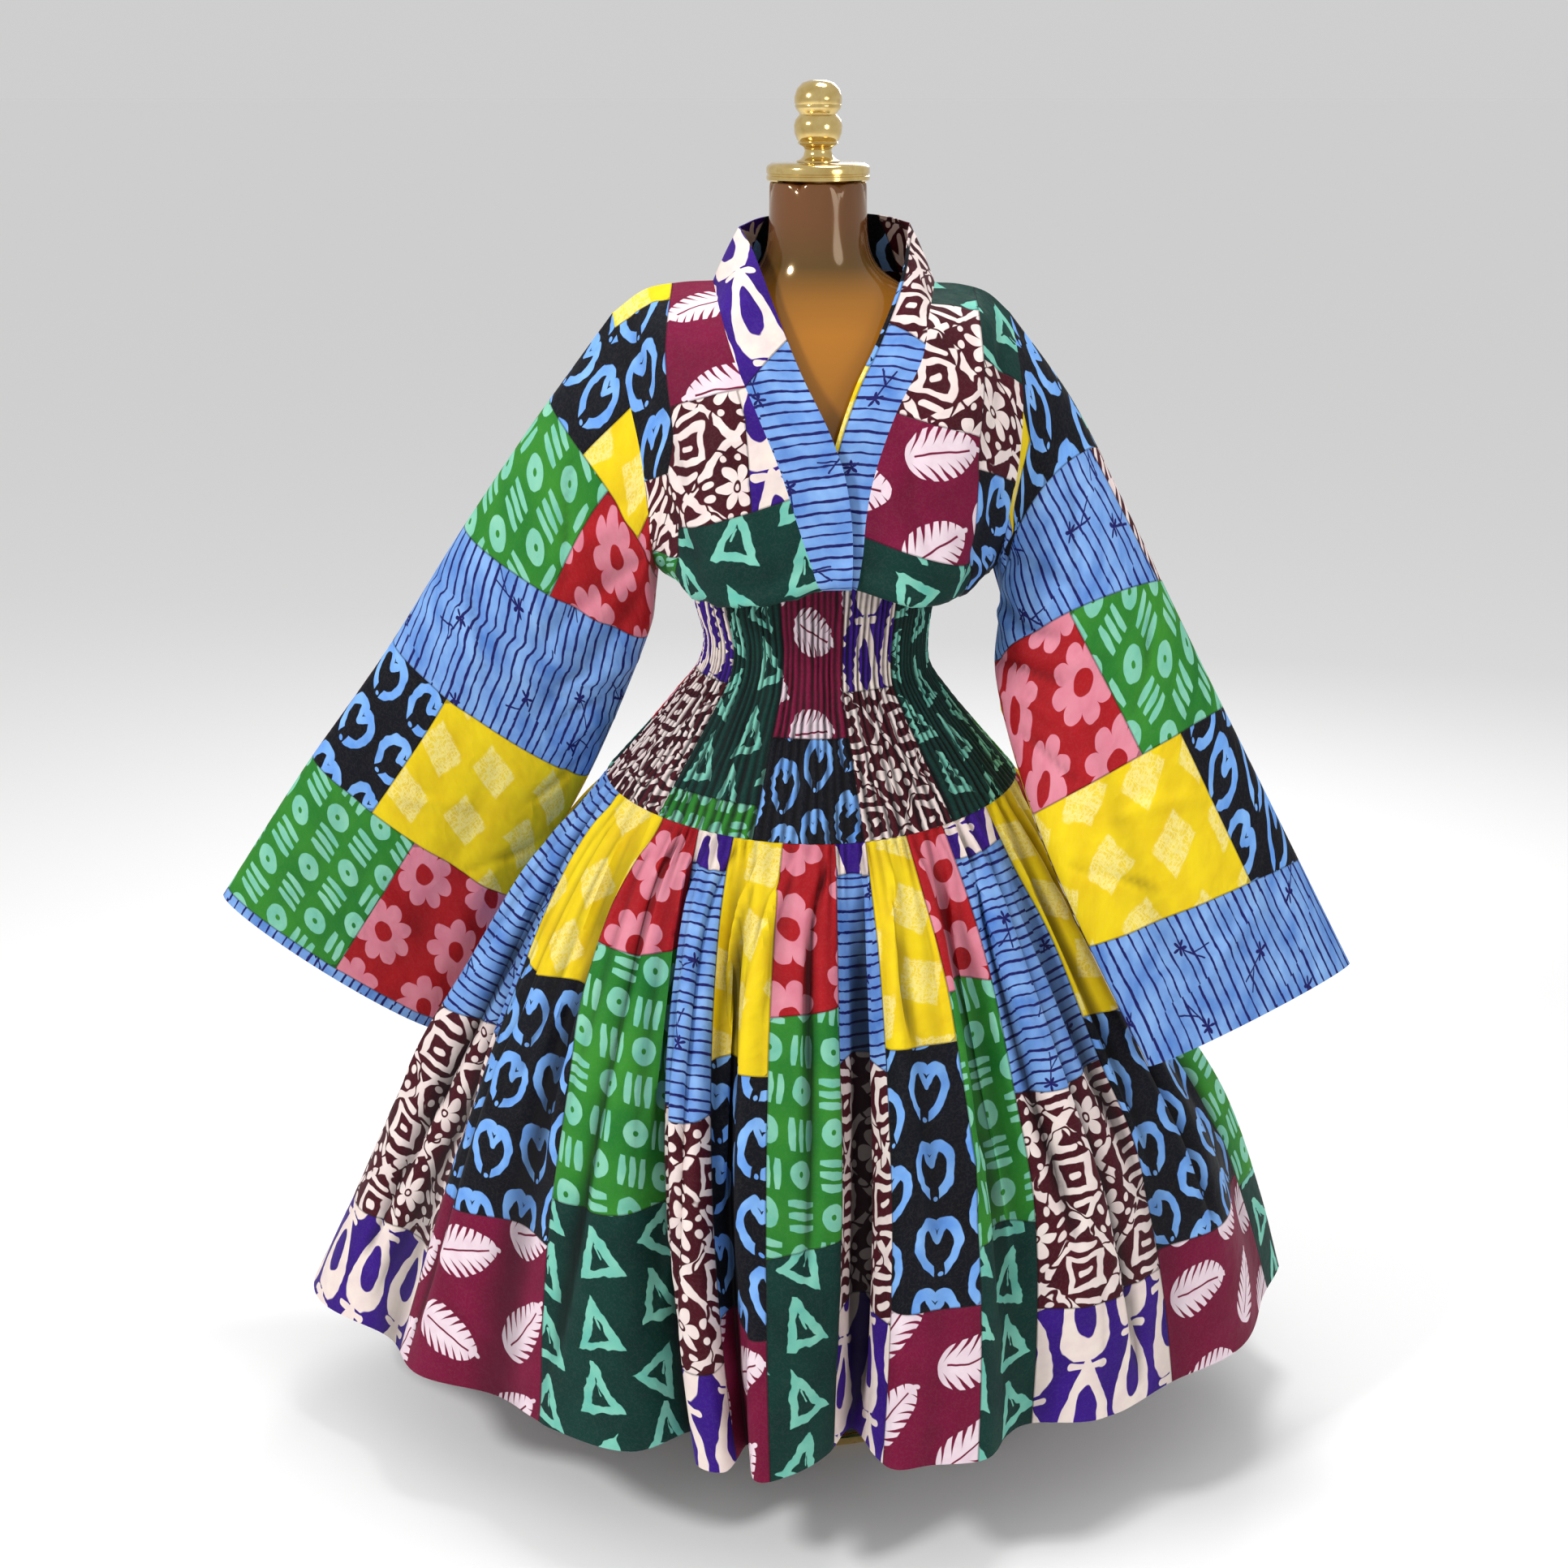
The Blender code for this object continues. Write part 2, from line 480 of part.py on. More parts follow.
# Bodice, neckband and sleeves share their seam points.
left = front_panel(FRONT_LEFT, LEFT_END, -math.pi / 2)
right = front_panel(FRONT_RIGHT, RIGHT_END, math.pi / 2)
back = back_panel(left, right)
low = BODICE_V.index(UNDERARM)
for panel, column in ((left, 0), (right, -1)):
    side = (panel[low:, -1] + back[low:, column]) / 2
    side[:, 1] = 0
    panel[low:, -1] = back[low:, column] = side

nape = FRONT_STEPS + NECK_STEPS // 2
left_neck, right_neck = back[0, FRONT_STEPS:nape + 1][::-1], back[0, nape:FRONT_STEPS + NECK_STEPS + 1]
rim = np.array([RIM_LEFT[0][1:], *RIM_BACK, RIM_RIGHT[0][1:]])
rim = smooth(np.linspace(0, 1, len(rim)), rim, np.linspace(0, 1, NECK_STEPS + 1))
half = NECK_STEPS // 2
band_left = neckband(left, RIM_LEFT, left_neck, rim[:half + 1][::-1], RIM_END_LEFT, 0.0)
band_right = neckband(right, RIM_RIGHT, right_neck, rim[half:], RIM_END_RIGHT, UNDER_LAP)

rows = ARMHOLE_ROWS
armhole_left = np.concatenate([left[:rows + 1, -1], back[1:rows, 0][::-1]])
armhole_right = np.concatenate([right[:rows + 1, -1], back[1:rows, -1][::-1]])
sleeve_left = sleeve(armhole_left, SLEEVE_LEFT)
sleeve_right = sleeve(armhole_right, SLEEVE_RIGHT)

names = ["bodice_front_left", "bodice_front_right", "bodice_back", "neckband_left", "neckband_right"]
grids = [left, right, back, band_left, band_right, sleeve_left, sleeve_right]
chest = np.array([0.0, 0.0, 1.20])
fields = [normals(g, chest) for g in grids[:5]]
fields += [normals(g, g.mean((0, 1)), closed=True) for g in grids[5:]]
fields = share(grids, fields)
margins = [dict(top=SEAM, first=SEAM, last=SEAM)] * 2 + [dict(top=SEAM, first=SEAM, last=SEAM)]
margins += [dict(top=SEAM, first=SEAM)] * 2
for name, grid, field, edge in zip(names, grids, fields, margins):
    outer = drawn_back(grid, **edge)
    wall(name, outer, outer - WALL * field)

# Each sleeve is a front and a back, seamed along the outer edge and under the arm.
for name, grid, field in zip(("sleeve_left", "sleeve_right"), grids[5:], fields[5:]):
    half = grid.shape[1] // 2
    grid = drawn_back(grid, top=2 * SEAM)
    for part, columns in (("_front", [*range(half + 1)]), ("_back", [*range(half, 2 * half), 0])):
        outer = drawn_back(grid[:, columns], first=SEAM, last=SEAM)
        wall(name + part, outer, outer - WALL * field[:, columns])

# Shirred panels: ribs are raised on the outside only.
for name, start in (("shirred_waist_front", -math.pi / 2), ("shirred_waist_back", math.pi / 2)):
    angles = start + np.linspace(0, math.pi, 2 * RIBS + 1)
    grid = shirred(angles)
    field = normals(grid, (0, 0, 0.93))
    field[:, [0, -1], 1] = 0
    field /= np.linalg.norm(field, axis=2)[:, :, None]
    field[0] = field[0] * (1, 1, 0) / np.linalg.norm(field[0, :, :2], axis=1)[:, None]
    base = drawn_back(grid, top=0.0, bottom=RING_SEAM, first=SEAM, last=SEAM)
    rib = RIB_HEIGHT * (np.arange(2 * RIBS + 1) % 2)
    rise = np.sin(np.linspace(0.12, math.pi - 0.12, len(grid)))[:, None] ** 0.5
    wall(name, base + field * (rib[None, :] * rise)[:, :, None], base - WALL * field)

for name, folds, is_back in (("skirt_front", FRONT_FOLDS, False), ("skirt_back", BACK_FOLDS, True)):
    grid = skirt(folds, is_back)
    field = normals(grid, (0, 0, 0.6))
    field[:, [0, -1], 1] = 0
    field /= np.linalg.norm(field, axis=2)[:, :, None]
    outer = drawn_back(grid, top=RING_SEAM, first=SEAM, last=SEAM)
    wall(name, outer, outer - WALL * field)

# Form: its waist ring follows the inside of the shirred panels.
angles = np.arange(FORM_COLUMNS) * 2 * math.pi / FORM_COLUMNS
sections = []
for row in FORM:
    if row is None:
        z, side_left, side_right, depth_front, depth_back = SHIRRED[WAIST_ROW]
        inset = WALL + EASE
        x, y = ring(side_left - inset, side_right - inset, depth_front - inset, depth_back - inset, angles)
        z -= HIP_DIP * (WAIST_ROW / (len(SHIRRED) - 1)) ** 2 / 2
    else:
        z, side, depth_front, depth_back = row
        x, y = ring(side, side, depth_front, depth_back, angles)
    sections.append(np.column_stack([x, y, np.full(FORM_COLUMNS, z)]))
rings("form_torso", sections, material("brown_gloss", BROWN, 0.18))

brass = material("brass", BRASS, 0.2, 1.0)
turned("cap_plate", CAP_PLATE, brass)
turned("finial", FINIAL, brass)
turned("pole", POLE, brass)
turned("base", BASE, brass)
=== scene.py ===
"""Patchwork wax print dress on a limbless dress form with its stand.

Metres, +Z up, the front faces -Y, left is at -X. Each cloth panel is worked out from the same short
tables of sections as its solid, sampled finely, creased along listed lines and sewn from printed patches.
"""

import math

import bpy
import numpy as np
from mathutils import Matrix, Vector, kdtree


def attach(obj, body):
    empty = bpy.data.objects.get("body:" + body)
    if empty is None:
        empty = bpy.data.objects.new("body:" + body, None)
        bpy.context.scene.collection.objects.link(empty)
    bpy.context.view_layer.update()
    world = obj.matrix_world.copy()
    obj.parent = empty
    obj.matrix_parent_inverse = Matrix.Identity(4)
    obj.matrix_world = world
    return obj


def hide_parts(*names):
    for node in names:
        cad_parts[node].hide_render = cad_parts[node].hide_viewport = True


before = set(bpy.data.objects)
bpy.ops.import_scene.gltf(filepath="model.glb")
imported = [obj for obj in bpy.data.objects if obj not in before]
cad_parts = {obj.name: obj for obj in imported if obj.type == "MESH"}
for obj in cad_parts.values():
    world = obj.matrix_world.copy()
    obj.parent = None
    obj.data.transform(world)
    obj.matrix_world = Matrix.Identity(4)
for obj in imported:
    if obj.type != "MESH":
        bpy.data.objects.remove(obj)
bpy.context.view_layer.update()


# Form. The real one is a moulded, hollow bust of glossy brown plastic with a plain round neck.
# It is one smooth shell, polished. Its colour is painted by height: amber on the chest as painted light,
# where light falls on it, and darker up the neck as painted shade and painted reflections.
def ramp(tree, factor, stops):
    node = tree.nodes.new("ShaderNodeValToRGB")
    node.color_ramp.elements[0].position, node.color_ramp.elements[0].color = stops[0][0], (*stops[0][1], 1)
    node.color_ramp.elements[1].position, node.color_ramp.elements[1].color = stops[-1][0], (*stops[-1][1], 1)
    for at, colour in stops[1:-1]:
        node.color_ramp.elements.new(at).color = (*colour, 1)
    tree.links.new(factor, node.inputs[0])
    return node.outputs[0]


def finish(name, roughness, metallic=0.0, coat=0.0):
    """A new material: itself, its node tree and its shader."""
    made = bpy.data.materials.new(name)
    made.use_nodes = True
    shader = made.node_tree.nodes["Principled BSDF"]
    shader.inputs["Roughness"].default_value = roughness
    shader.inputs["Metallic"].default_value = metallic
    shader.inputs["Coat Weight"].default_value = coat
    shader.inputs["Coat Roughness"].default_value = 0.04
    return made, made.node_tree, shader


def speckle(tree, scale, detail=3.0, stretch=(1, 1, 1)):
    """Noise on the piece's own coordinates."""
    where = tree.nodes.new("ShaderNodeTexCoord")
    turn = tree.nodes.new("ShaderNodeMapping")
    turn.inputs["Scale"].default_value = stretch
    noise = tree.nodes.new("ShaderNodeTexNoise")
    noise.inputs["Scale"].default_value = scale
    noise.inputs["Detail"].default_value = detail
    tree.links.new(where.outputs["Object"], turn.inputs[0])
    tree.links.new(turn.outputs[0], noise.inputs["Vector"])
    return noise.outputs["Fac"]


def bump(tree, shader, height, strength, distance):
    node = tree.nodes.new("ShaderNodeBump")
    node.inputs["Strength"].default_value = strength
    node.inputs["Distance"].default_value = distance
    tree.links.new(height, node.inputs["Height"])
    tree.links.new(node.outputs[0], shader.inputs["Normal"])


brown_gloss, tree, shader = finish("brown_gloss", 0.14, coat=0.5)
shader.inputs["Specular Tint"].default_value = (1.0, 0.78, 0.48, 1)
shader.inputs["Coat Tint"].default_value = (1.0, 0.80, 0.55, 1)
# Painted light and shade: a ramp by height, lit amber low on the chest and shaded dark brown up the neck.
height = tree.nodes.new("ShaderNodeSeparateXYZ")
where = tree.nodes.new("ShaderNodeTexCoord")
tree.links.new(where.outputs["Object"], height.inputs[0])
up = tree.nodes.new("ShaderNodeMapRange")
up.inputs["From Min"].default_value = 1.34
up.inputs["From Max"].default_value = 1.46
tree.links.new(height.outputs[2], up.inputs["Value"])
painted_light_and_shade = ramp(tree, up.outputs[0], [(0.0, (0.42, 0.175, 0.020)), (0.30, (0.30, 0.130, 0.018)),
                                   (0.60, (0.10, 0.056, 0.014)), (1.0, (0.14, 0.058, 0.024))])
tree.links.new(painted_light_and_shade, shader.inputs["Base Color"])
bump(tree, shader, speckle(tree, 9.0, 1.0), 0.12, 0.004)

bpy.ops.object.select_all(action="DESELECT")
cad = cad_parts["form_torso"]
torso = bpy.data.objects.new("torso", cad.data.copy())
bpy.context.scene.collection.objects.link(torso)
bpy.context.view_layer.objects.active = torso
torso.select_set(True)
bpy.ops.object.mode_set(mode="EDIT")
bpy.ops.mesh.select_all(action="SELECT")
bpy.ops.mesh.remove_doubles(threshold=0.00002)
bpy.ops.mesh.tris_convert_to_quads(face_threshold=math.radians(60), shape_threshold=math.radians(60))
bpy.ops.object.mode_set(mode="OBJECT")
rounding = torso.modifiers.new("rounding", "SUBSURF")
rounding.levels = rounding.render_levels = 2
bpy.ops.object.shade_smooth_by_angle(angle=math.radians(50))
torso.data.materials.clear()
torso.data.materials.append(brown_gloss)
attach(torso, "root")
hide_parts("form_torso")


# Cap plate, finial, pole and base. The real ones are brass tube and turnings, polished and lacquered,
# screwed together through the neck. Each is one profile turned round the upright axis.
CAP_PLATE = [(0.0, 1.5013), (0.0560, 1.5013), (0.0575, 1.5028), (0.0575, 1.5066), (0.0566, 1.5074),
             (0.0566, 1.5090), (0.0575, 1.5098), (0.0575, 1.5150), (0.0568, 1.5172), (0.0520, 1.5205),
             (0.0, 1.5205)]
FINIAL = [(0.0, 1.5208), (0.0240, 1.5208), (0.0240, 1.5228), (0.0205, 1.5240), (0.0165, 1.5275),
          (0.0148, 1.5335), (0.0160, 1.5368), (0.0185, 1.5385), (0.0215, 1.5400), (0.0226, 1.5416),
          (0.0216, 1.5432), (0.0235, 1.5450), (0.0262, 1.5520), (0.0268, 1.5600), (0.0250, 1.5665),
          (0.0215, 1.5705), (0.0205, 1.5720), (0.0212, 1.5735), (0.0245, 1.5775), (0.0258, 1.5810),
          (0.0251, 1.5824), (0.0262, 1.5838), (0.0262, 1.5900), (0.0235, 1.5985), (0.0175, 1.6050),
          (0.0090, 1.6078), (0.0, 1.6078)]
POLE = [(0.0, 0.0433), (0.0160, 0.0433), (0.0160, 0.3000), (0.0185, 0.3010), (0.0185, 0.3240),
        (0.0160, 0.3250), (0.0160, 0.6997), (0.0, 0.6997)]
BASE = [(0.0, 0.0), (0.1750, 0.0), (0.1800, 0.0030), (0.1800, 0.0120), (0.1780, 0.0140),
        (0.1720, 0.0160), (0.1200, 0.0172), (0.0600, 0.0200), (0.0430, 0.0225), (0.0320, 0.0260),
        (0.0285, 0.0310), (0.0270, 0.0360), (0.0260, 0.0430), (0.0, 0.0430)]

brass, tree, shader = finish("brass", 0.14, metallic=1.0, coat=0.4)
tarnish = ramp(tree, speckle(tree, 60.0, 5.0), [(0.30, (0.64, 0.44, 0.14)), (0.60, (0.80, 0.60, 0.24)),
                                                (0.80, (0.58, 0.38, 0.12))])
tree.links.new(tarnish, shader.inputs["Base Color"])
bump(tree, shader, speckle(tree, 25.0, 2.0, (1, 1, 8)), 0.08, 0.001)


def turned(name, profile, node, edge=40):
    """A profile drawn point by point from one vertex, spun once round and closed."""
    bpy.ops.object.select_all(action="DESELECT")
    (first, low), rest = profile[0], profile[1:]
    bpy.ops.mesh.primitive_plane_add(size=0.001, location=(first, 0, low))
    obj = bpy.context.active_object
    obj.name = name
    bpy.ops.object.transform_apply(location=True, rotation=True, scale=True)
    bpy.ops.object.mode_set(mode="EDIT")
    bpy.ops.mesh.merge(type="CENTER")
    last = (first, low)
    for radius, z in rest:
        move = (radius - last[0], 0, z - last[1])
        bpy.ops.mesh.extrude_region_move(TRANSFORM_OT_translate={"value": move})
        last = (radius, z)
    bpy.ops.mesh.select_all(action="SELECT")
    bpy.ops.mesh.spin(steps=96, angle=math.tau, center=(0, 0, 0), axis=(0, 0, 1))
    bpy.ops.mesh.select_all(action="SELECT")
    bpy.ops.mesh.remove_doubles(threshold=0.00005)
    bpy.ops.mesh.normals_make_consistent(inside=False)
    bpy.ops.object.mode_set(mode="OBJECT")
    bpy.ops.object.shade_smooth_by_angle(angle=math.radians(edge))
    obj.data.materials.clear()
    obj.data.materials.append(brass)
    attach(obj, "root")
    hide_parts(node)


turned("neck_cap", CAP_PLATE, "cap_plate")
turned("turned_finial", FINIAL, "finial", 55)
turned("stand_pole", POLE, "pole")
turned("stand_base", BASE, "base")


# Printed cotton. The real patches are wax prints on crisp plain-weave cotton, each a two or three
# colour print drawn by brush and stamp. Every print here is worked out in millimetres on the cloth.
class Ink:
    """A number at each point of the cloth. Sums on it become nodes of the print."""

    def __init__(self, tree, socket):
        self.tree, self.socket = tree, socket

    def by(self, operation, *others, clamp=False):
        node = self.tree.nodes.new("ShaderNodeMath")
        node.operation, node.use_clamp = operation, clamp
        for plug, value in zip(node.inputs, (self, *others)):
            if isinstance(value, Ink):
                self.tree.links.new(value.socket, plug)
            else:
                plug.default_value = value
        return Ink(self.tree, node.outputs[0])

    def __add__(self, other):
        return self.by("ADD", other)

    def __sub__(self, other):
        return self.by("SUBTRACT", other)

    def __mul__(self, other):
        return self.by("MULTIPLY", other)

    def __truediv__(self, other):
        return self.by("DIVIDE", other)

    def __abs__(self):
        return self.by("ABSOLUTE")

    def least(self, other):
        return self.by("MINIMUM", other)

    def most(self, other):
        return self.by("MAXIMUM", other)

    def root(self):
        return self.most(0.0).by("SQRT")


def length(a, b):
    return (a * a + b * b).root()


def inside(distance, soft=0.7):
    """1 where a distance in mm is below zero, with a slightly soft edge."""
    return (distance * (-1 / soft) + 0.5).by("ADD", 0.0, clamp=True)


def cell(a, pitch):
    """Which repeat a point is in, and how far it is from the middle of it."""
    scaled = a * (1 / pitch)
    whole = scaled.by("FLOOR")
    return whole, (scaled - whole - 0.5) * pitch


def lots(i, j, salt):
    """Three numbers from 0 to 1, the same all over one repeat."""
    tree = i.tree
    join = tree.nodes.new("ShaderNodeCombineXYZ")
    tree.links.new(i.socket, join.inputs[0])
    tree.links.new(j.socket, join.inputs[1])
    join.inputs[2].default_value = salt
    noise = tree.nodes.new("ShaderNodeTexWhiteNoise")
    noise.noise_dimensions = "3D"
    tree.links.new(join.outputs[0], noise.inputs["Vector"])
    split = tree.nodes.new("ShaderNodeSeparateXYZ")
    tree.links.new(noise.outputs["Color"], split.inputs[0])
    return [Ink(tree, out) for out in split.outputs]


def uneven(x, y, size, salt=0.0, detail=1.0):
    """Noise from about -0.5 to 0.5 over the cloth, in lumps of that size in mm."""
    tree = x.tree
    join = tree.nodes.new("ShaderNodeCombineXYZ")
    for plug, value in zip(join.inputs, (x * (1 / size), y * (1 / size))):
        tree.links.new(value.socket, plug)
    join.inputs[2].default_value = salt
    noise = tree.nodes.new("ShaderNodeTexNoise")
    noise.inputs["Scale"].default_value = 1.0
    noise.inputs["Detail"].default_value = detail
    tree.links.new(join.outputs[0], noise.inputs["Vector"])
    return Ink(tree, noise.outputs["Fac"]) - 0.5


def turn(x, y, angle):
    c, s = angle.by("COSINE"), angle.by("SINE")
    return x * c + y * s, y * c - x * s


def stroke(x, y, a, b):
    """Distance to the line from a to b."""
    run = (b[0] - a[0], b[1] - a[1])
    size = run[0] ** 2 + run[1] ** 2
    px, py = x - a[0], y - a[1]
    along = (px * (run[0] / size) + py * (run[1] / size)).by("ADD", 0.0, clamp=True)
    return length(px - along * run[0], py - along * run[1])


def dye(*rgb):
    """A colour from 0 to 255 as light."""
    return tuple((c / 255 / 12.92 if c <= 10 else ((c / 255 + 0.055) / 1.055) ** 2.4) for c in rgb)


def over(tree, below, above, cover):
    node = tree.nodes.new("ShaderNodeMix")
    node.data_type = "RGBA"
    tree.links.new(cover.socket, node.inputs[0])
    for plug, colour in ((node.inputs[6], below), (node.inputs[7], above)):
        if isinstance(colour, tuple):
            plug.default_value = (*colour, 1)
        else:
            tree.links.new(colour, plug)
    return node.outputs[2]


def washed(x, y, first, second, size=60.0, salt=3.0):
    """Two close tones of a dye, run into each other."""
    return over(x.tree, first, second, (uneven(x, y, size, salt, 3.0) * 2.2 + 0.5).by("ADD", 0.0, clamp=True))


def blue_lines(x, y):
    """Hand-drawn navy lines across a sky blue ground, with branching strokes and small splats."""
    ground = washed(x, y, dye(78, 124, 198), dye(138, 180, 234), 42)
    bend = uneven(x, y * 0.3, 90, 1.0) * 7 + uneven(x, y, 16, 2.0) * 1.4
    row, off = cell(y + bend, 12.6)
    luck = lots(row, (x * (1 / 95)).by("FLOOR"), 1.0)
    thick = luck[0] * 0.8 + uneven(x, y, 11, 6.0) * 2.0 + 1.0
    lines = inside(abs(off + (luck[1] - 0.5) * 3) - thick)
    i, sx = cell(x, 84)
    j, sy = cell(y + i * 31, 96)
    luck = lots(i, j, 4.0)
    sx, sy = turn(sx + (luck[0] - 0.5) * 26, sy + (luck[1] - 0.5) * 30, luck[2] * 6.28)
    sx = sx + uneven(x, y, 9, 9.0) * 3
    round_it = sy.by("ARCTAN2", sx)
    star = inside(length(sx, sy) - ((round_it * 5).by("COSINE") * 3.6 + 5.6))
    twigs = stroke(sx, sy, (2, 2), (24, 26)).least(stroke(sx, sy, (12, 14), (12, 36))) - 1.0
    ink = lines.most(star).most(inside(twigs))
    return over(x.tree, ground, dye(22, 20, 92), ink)


def motif(x, y, pitch, drop, salt, slip, spin, lump, salts, waver):
    """A point's place on the nearest motif, in mm from its middle.

    Motifs repeat at the pitch across and down, each column lower than the last by the drop. Each slips
    and turns a little by chance, and its outline wavers in lumps."""
    i, px = cell(x, pitch[0])
    j, py = cell(y + i * drop, pitch[1])
    luck = lots(i, j, salt)
    px, py = turn(px + (luck[0] - 0.5) * slip, py + (luck[1] - 0.5) * slip, luck[2] * spin[0] + spin[1])
    return px + uneven(x, y, lump, salts[0]) * waver, py + uneven(x, y, lump, salts[1]) * waver


def yellow_squares(x, y):
    """Pale scribbled squares, a little askew, on a bright yellow ground."""
    ground = washed(x, y, dye(240, 212, 20), dye(222, 186, 16), 45)
    px, py = motif(x, y, (78, 84), 36, 2.0, 12, (0.7, 0.05), 12, (1.0, 5.0), 5)
    square = inside(abs(px).most(abs(py)) - 23, 2.0)
    scribble = inside(abs(uneven(px, py * 0.35, 5.5, 2.0, 2.0)) * 22 - 0.8, 1.6)
    hatch = inside(abs(uneven(px * 0.3, py, 5.0, 7.0, 2.0)) * 22 - 0.7, 1.6)
    return over(x.tree, ground, dye(246, 238, 168), square * (scribble.most(hatch) * 0.52 + 0.10))


def red_flowers(x, y):
    """Eight-petalled pink flowers with red middles on a red ground."""
    tree = x.tree
    ground = washed(x, y, dye(172, 22, 30), dye(150, 14, 24))
    px, py = motif(x, y, (98, 98), 49, 3.0, 10, (6.28, 0.0), 18, (1.0, 4.0), 5)
    far = length(px, py)
    lobes = abs((py.by("ARCTAN2", px) * 4).by("COSINE")).root()
    petals = inside(far - (lobes * 16 + 27))
    middle = inside(far * -1 + 13)
    pink = washed(x, y, dye(222, 140, 156), dye(212, 120, 140), 30)
    return over(tree, ground, pink, petals * middle)


def black_hearts(x, y):
    """Open brush-drawn hearts in light blue on black, in rows."""
    ground = washed(x, y, dye(4, 5, 13), dye(9, 12, 24))
    i, px = cell(x + uneven(x, y, 60, 2.0) * 8, 64)
    j, py = cell(y + i * 22, 82)
    luck = lots(i, j, 5.0)
    px, py = turn(px + (luck[0] - 0.5) * 7, py + (luck[1] - 0.5) * 7, (luck[2] - 0.5) * 0.8)
    px, py = px + uneven(x, y, 20, 1.0) * 6, py + uneven(x, y, 20, 6.0) * 6
    side = abs(px) * (1 / 23)
    rise = py * (-1 / 27) - side.root() * 0.32 + 0.10
    curve = abs(length(side, rise) - 1) * 23
    gap = inside(side * 30 - 7.5) * inside(py * -1 + 12)
    drawn = inside(curve - (uneven(x, y, 15, 3.0) * 4 + 5.0)) * (gap * -1 + 1)
    notch = inside(stroke(abs(px), py, (0, -8), (9, -24)) - (uneven(x, y, 11, 8.0) * 3 + 3.8))
    drawn = drawn.most(notch)
    tail = inside(length(px - 1, py - 29) - 2.8)
    tone = washed(x, y, dye(92, 146, 222), dye(134, 184, 242), 34)
    return over(x.tree, ground, tone, drawn.most(tail))


def green_rings(x, y):
    """A chequer of thick rings and sets of three bars, mint on leaf green."""
    ground = washed(x, y, dye(22, 108, 40), dye(58, 138, 42), 90)
    wave = uneven(x, y, 55, 1.0) * 9
    i, px = cell(x + wave, 43)
    j, py = cell(y + wave, 45)
    luck = lots(i, j, 6.0)
    px, py = px + (luck[0] - 0.5) * 4, py + (luck[1] - 0.5) * 4
    odd = (i + j).by("FLOORED_MODULO", 2.0)
    far = length(px * 1.05, py) + uneven(x, y, 9, 2.0) * 2
    ring = inside(far - 16) * inside(far * -1 + 3.4)
    flip = (luck[2] - 0.72).by("GREATER_THAN", 0.0)
    bx = px + (py - px) * flip
    by = py + (px - py) * flip
    bar, off = cell(bx + uneven(x, y, 14, 7.0) * 2 + 6.4, 12.8)
    far = abs(off) - (abs(by) * abs(by) * -0.006 + 4.5)
    bars = inside(far) * inside(abs(bx) - 18.6) * inside(abs(by) - 17)
    tone = washed(x, y, dye(106, 184, 160), dye(140, 204, 176), 36)
    return over(x.tree, ground, tone, ring * (odd * -1 + 1) + bars * odd)


def dark_triangles(x, y):
    """Brush-drawn triangle outlines in mint on bottle green."""
    ground = washed(x, y, dye(3, 42, 38), dye(7, 56, 48))
    px, py = motif(x, y, (80, 76), 41, 7.0, 10, (0.9, -0.45), 24, (1.0, 4.0), 8)
    sides = (py * -0.42 + abs(px) * 0.91).most(py - 4) - 12.5
    drawn = inside(abs(sides) - (uneven(x, y, 13, 2.0) * 7 + 4.9))
    drip = inside(stroke(px, py, (1, -14), (4, 0)) - (uneven(x, y, 9, 8.0) * 4 + 1.0))
    tone = washed(x, y, dye(98, 182, 166), dye(134, 204, 182), 30)
    return over(x.tree, ground, tone, drawn.most(drip))


def burgundy_leaves(x, y):
    """Broad notched leaves, nearly white, on burgundy."""
    ground = washed(x, y, dye(122, 12, 58), dye(104, 8, 46))
    px, py = motif(x, y, (98, 108), 56, 8.0, 12, (1.5, 0.35), 26, (1.0, 5.0), 5)
    along = py * (1 / 44)
    wide = (along * along * -1 + 1).root() * (along * 0.22 + 1) * 29 - 0.6
    leaf = inside(abs(px) - wide)
    notch, off = cell(py + abs(px) * 0.75, 12)
    cut = inside(abs(off) - (abs(px) - wide * 0.34) * 0.17)
    rib = inside(abs(px + along * 2) - 1.2) * inside(abs(py) - 33)
    stem = inside(stroke(px, py, (0, -42), (2, -47)) - 2.8)
    tone = washed(x, y, dye(238, 220, 228), dye(226, 200, 212), 22)
    return over(x.tree, ground, tone, (leaf * (cut.most(rib) * -1 + 1)).most(stem))


def purple_loops(x, y):
    """Long thick cream loops, narrow at the top, on purple."""
    ground = washed(x, y, dye(58, 18, 134), dye(44, 10, 108))
    bend = uneven(x, y, 60, 1.0) * 9
    i, px = cell(x + bend, 70)
    j, py = cell(y + i * 26, 116)
    luck = lots(i, j, 9.0)
    px, py = turn(px, py, (luck[2] - 0.5) * 0.24)
    px, py = px + uneven(x, y, 26, 3.0) * 5, py + uneven(x, y, 26, 6.0) * 5
    along = py * (1 / 46)
    wide = along * 9.5 + 20
    ring = abs(length(px / wide, along) - 1) * 23
    drawn = inside(ring - (uneven(x, y, 22, 4.0) * 6 + 8.0))
    bar = inside(stroke(px, py, (-20, -52), (20, -50)) - (uneven(x, y, 16, 4.0) * 6 + 4.0))
    tone = washed(x, y, dye(240, 226, 214), dye(228, 208, 206), 24)
    return over(x.tree, ground, tone, drawn.most(bar))


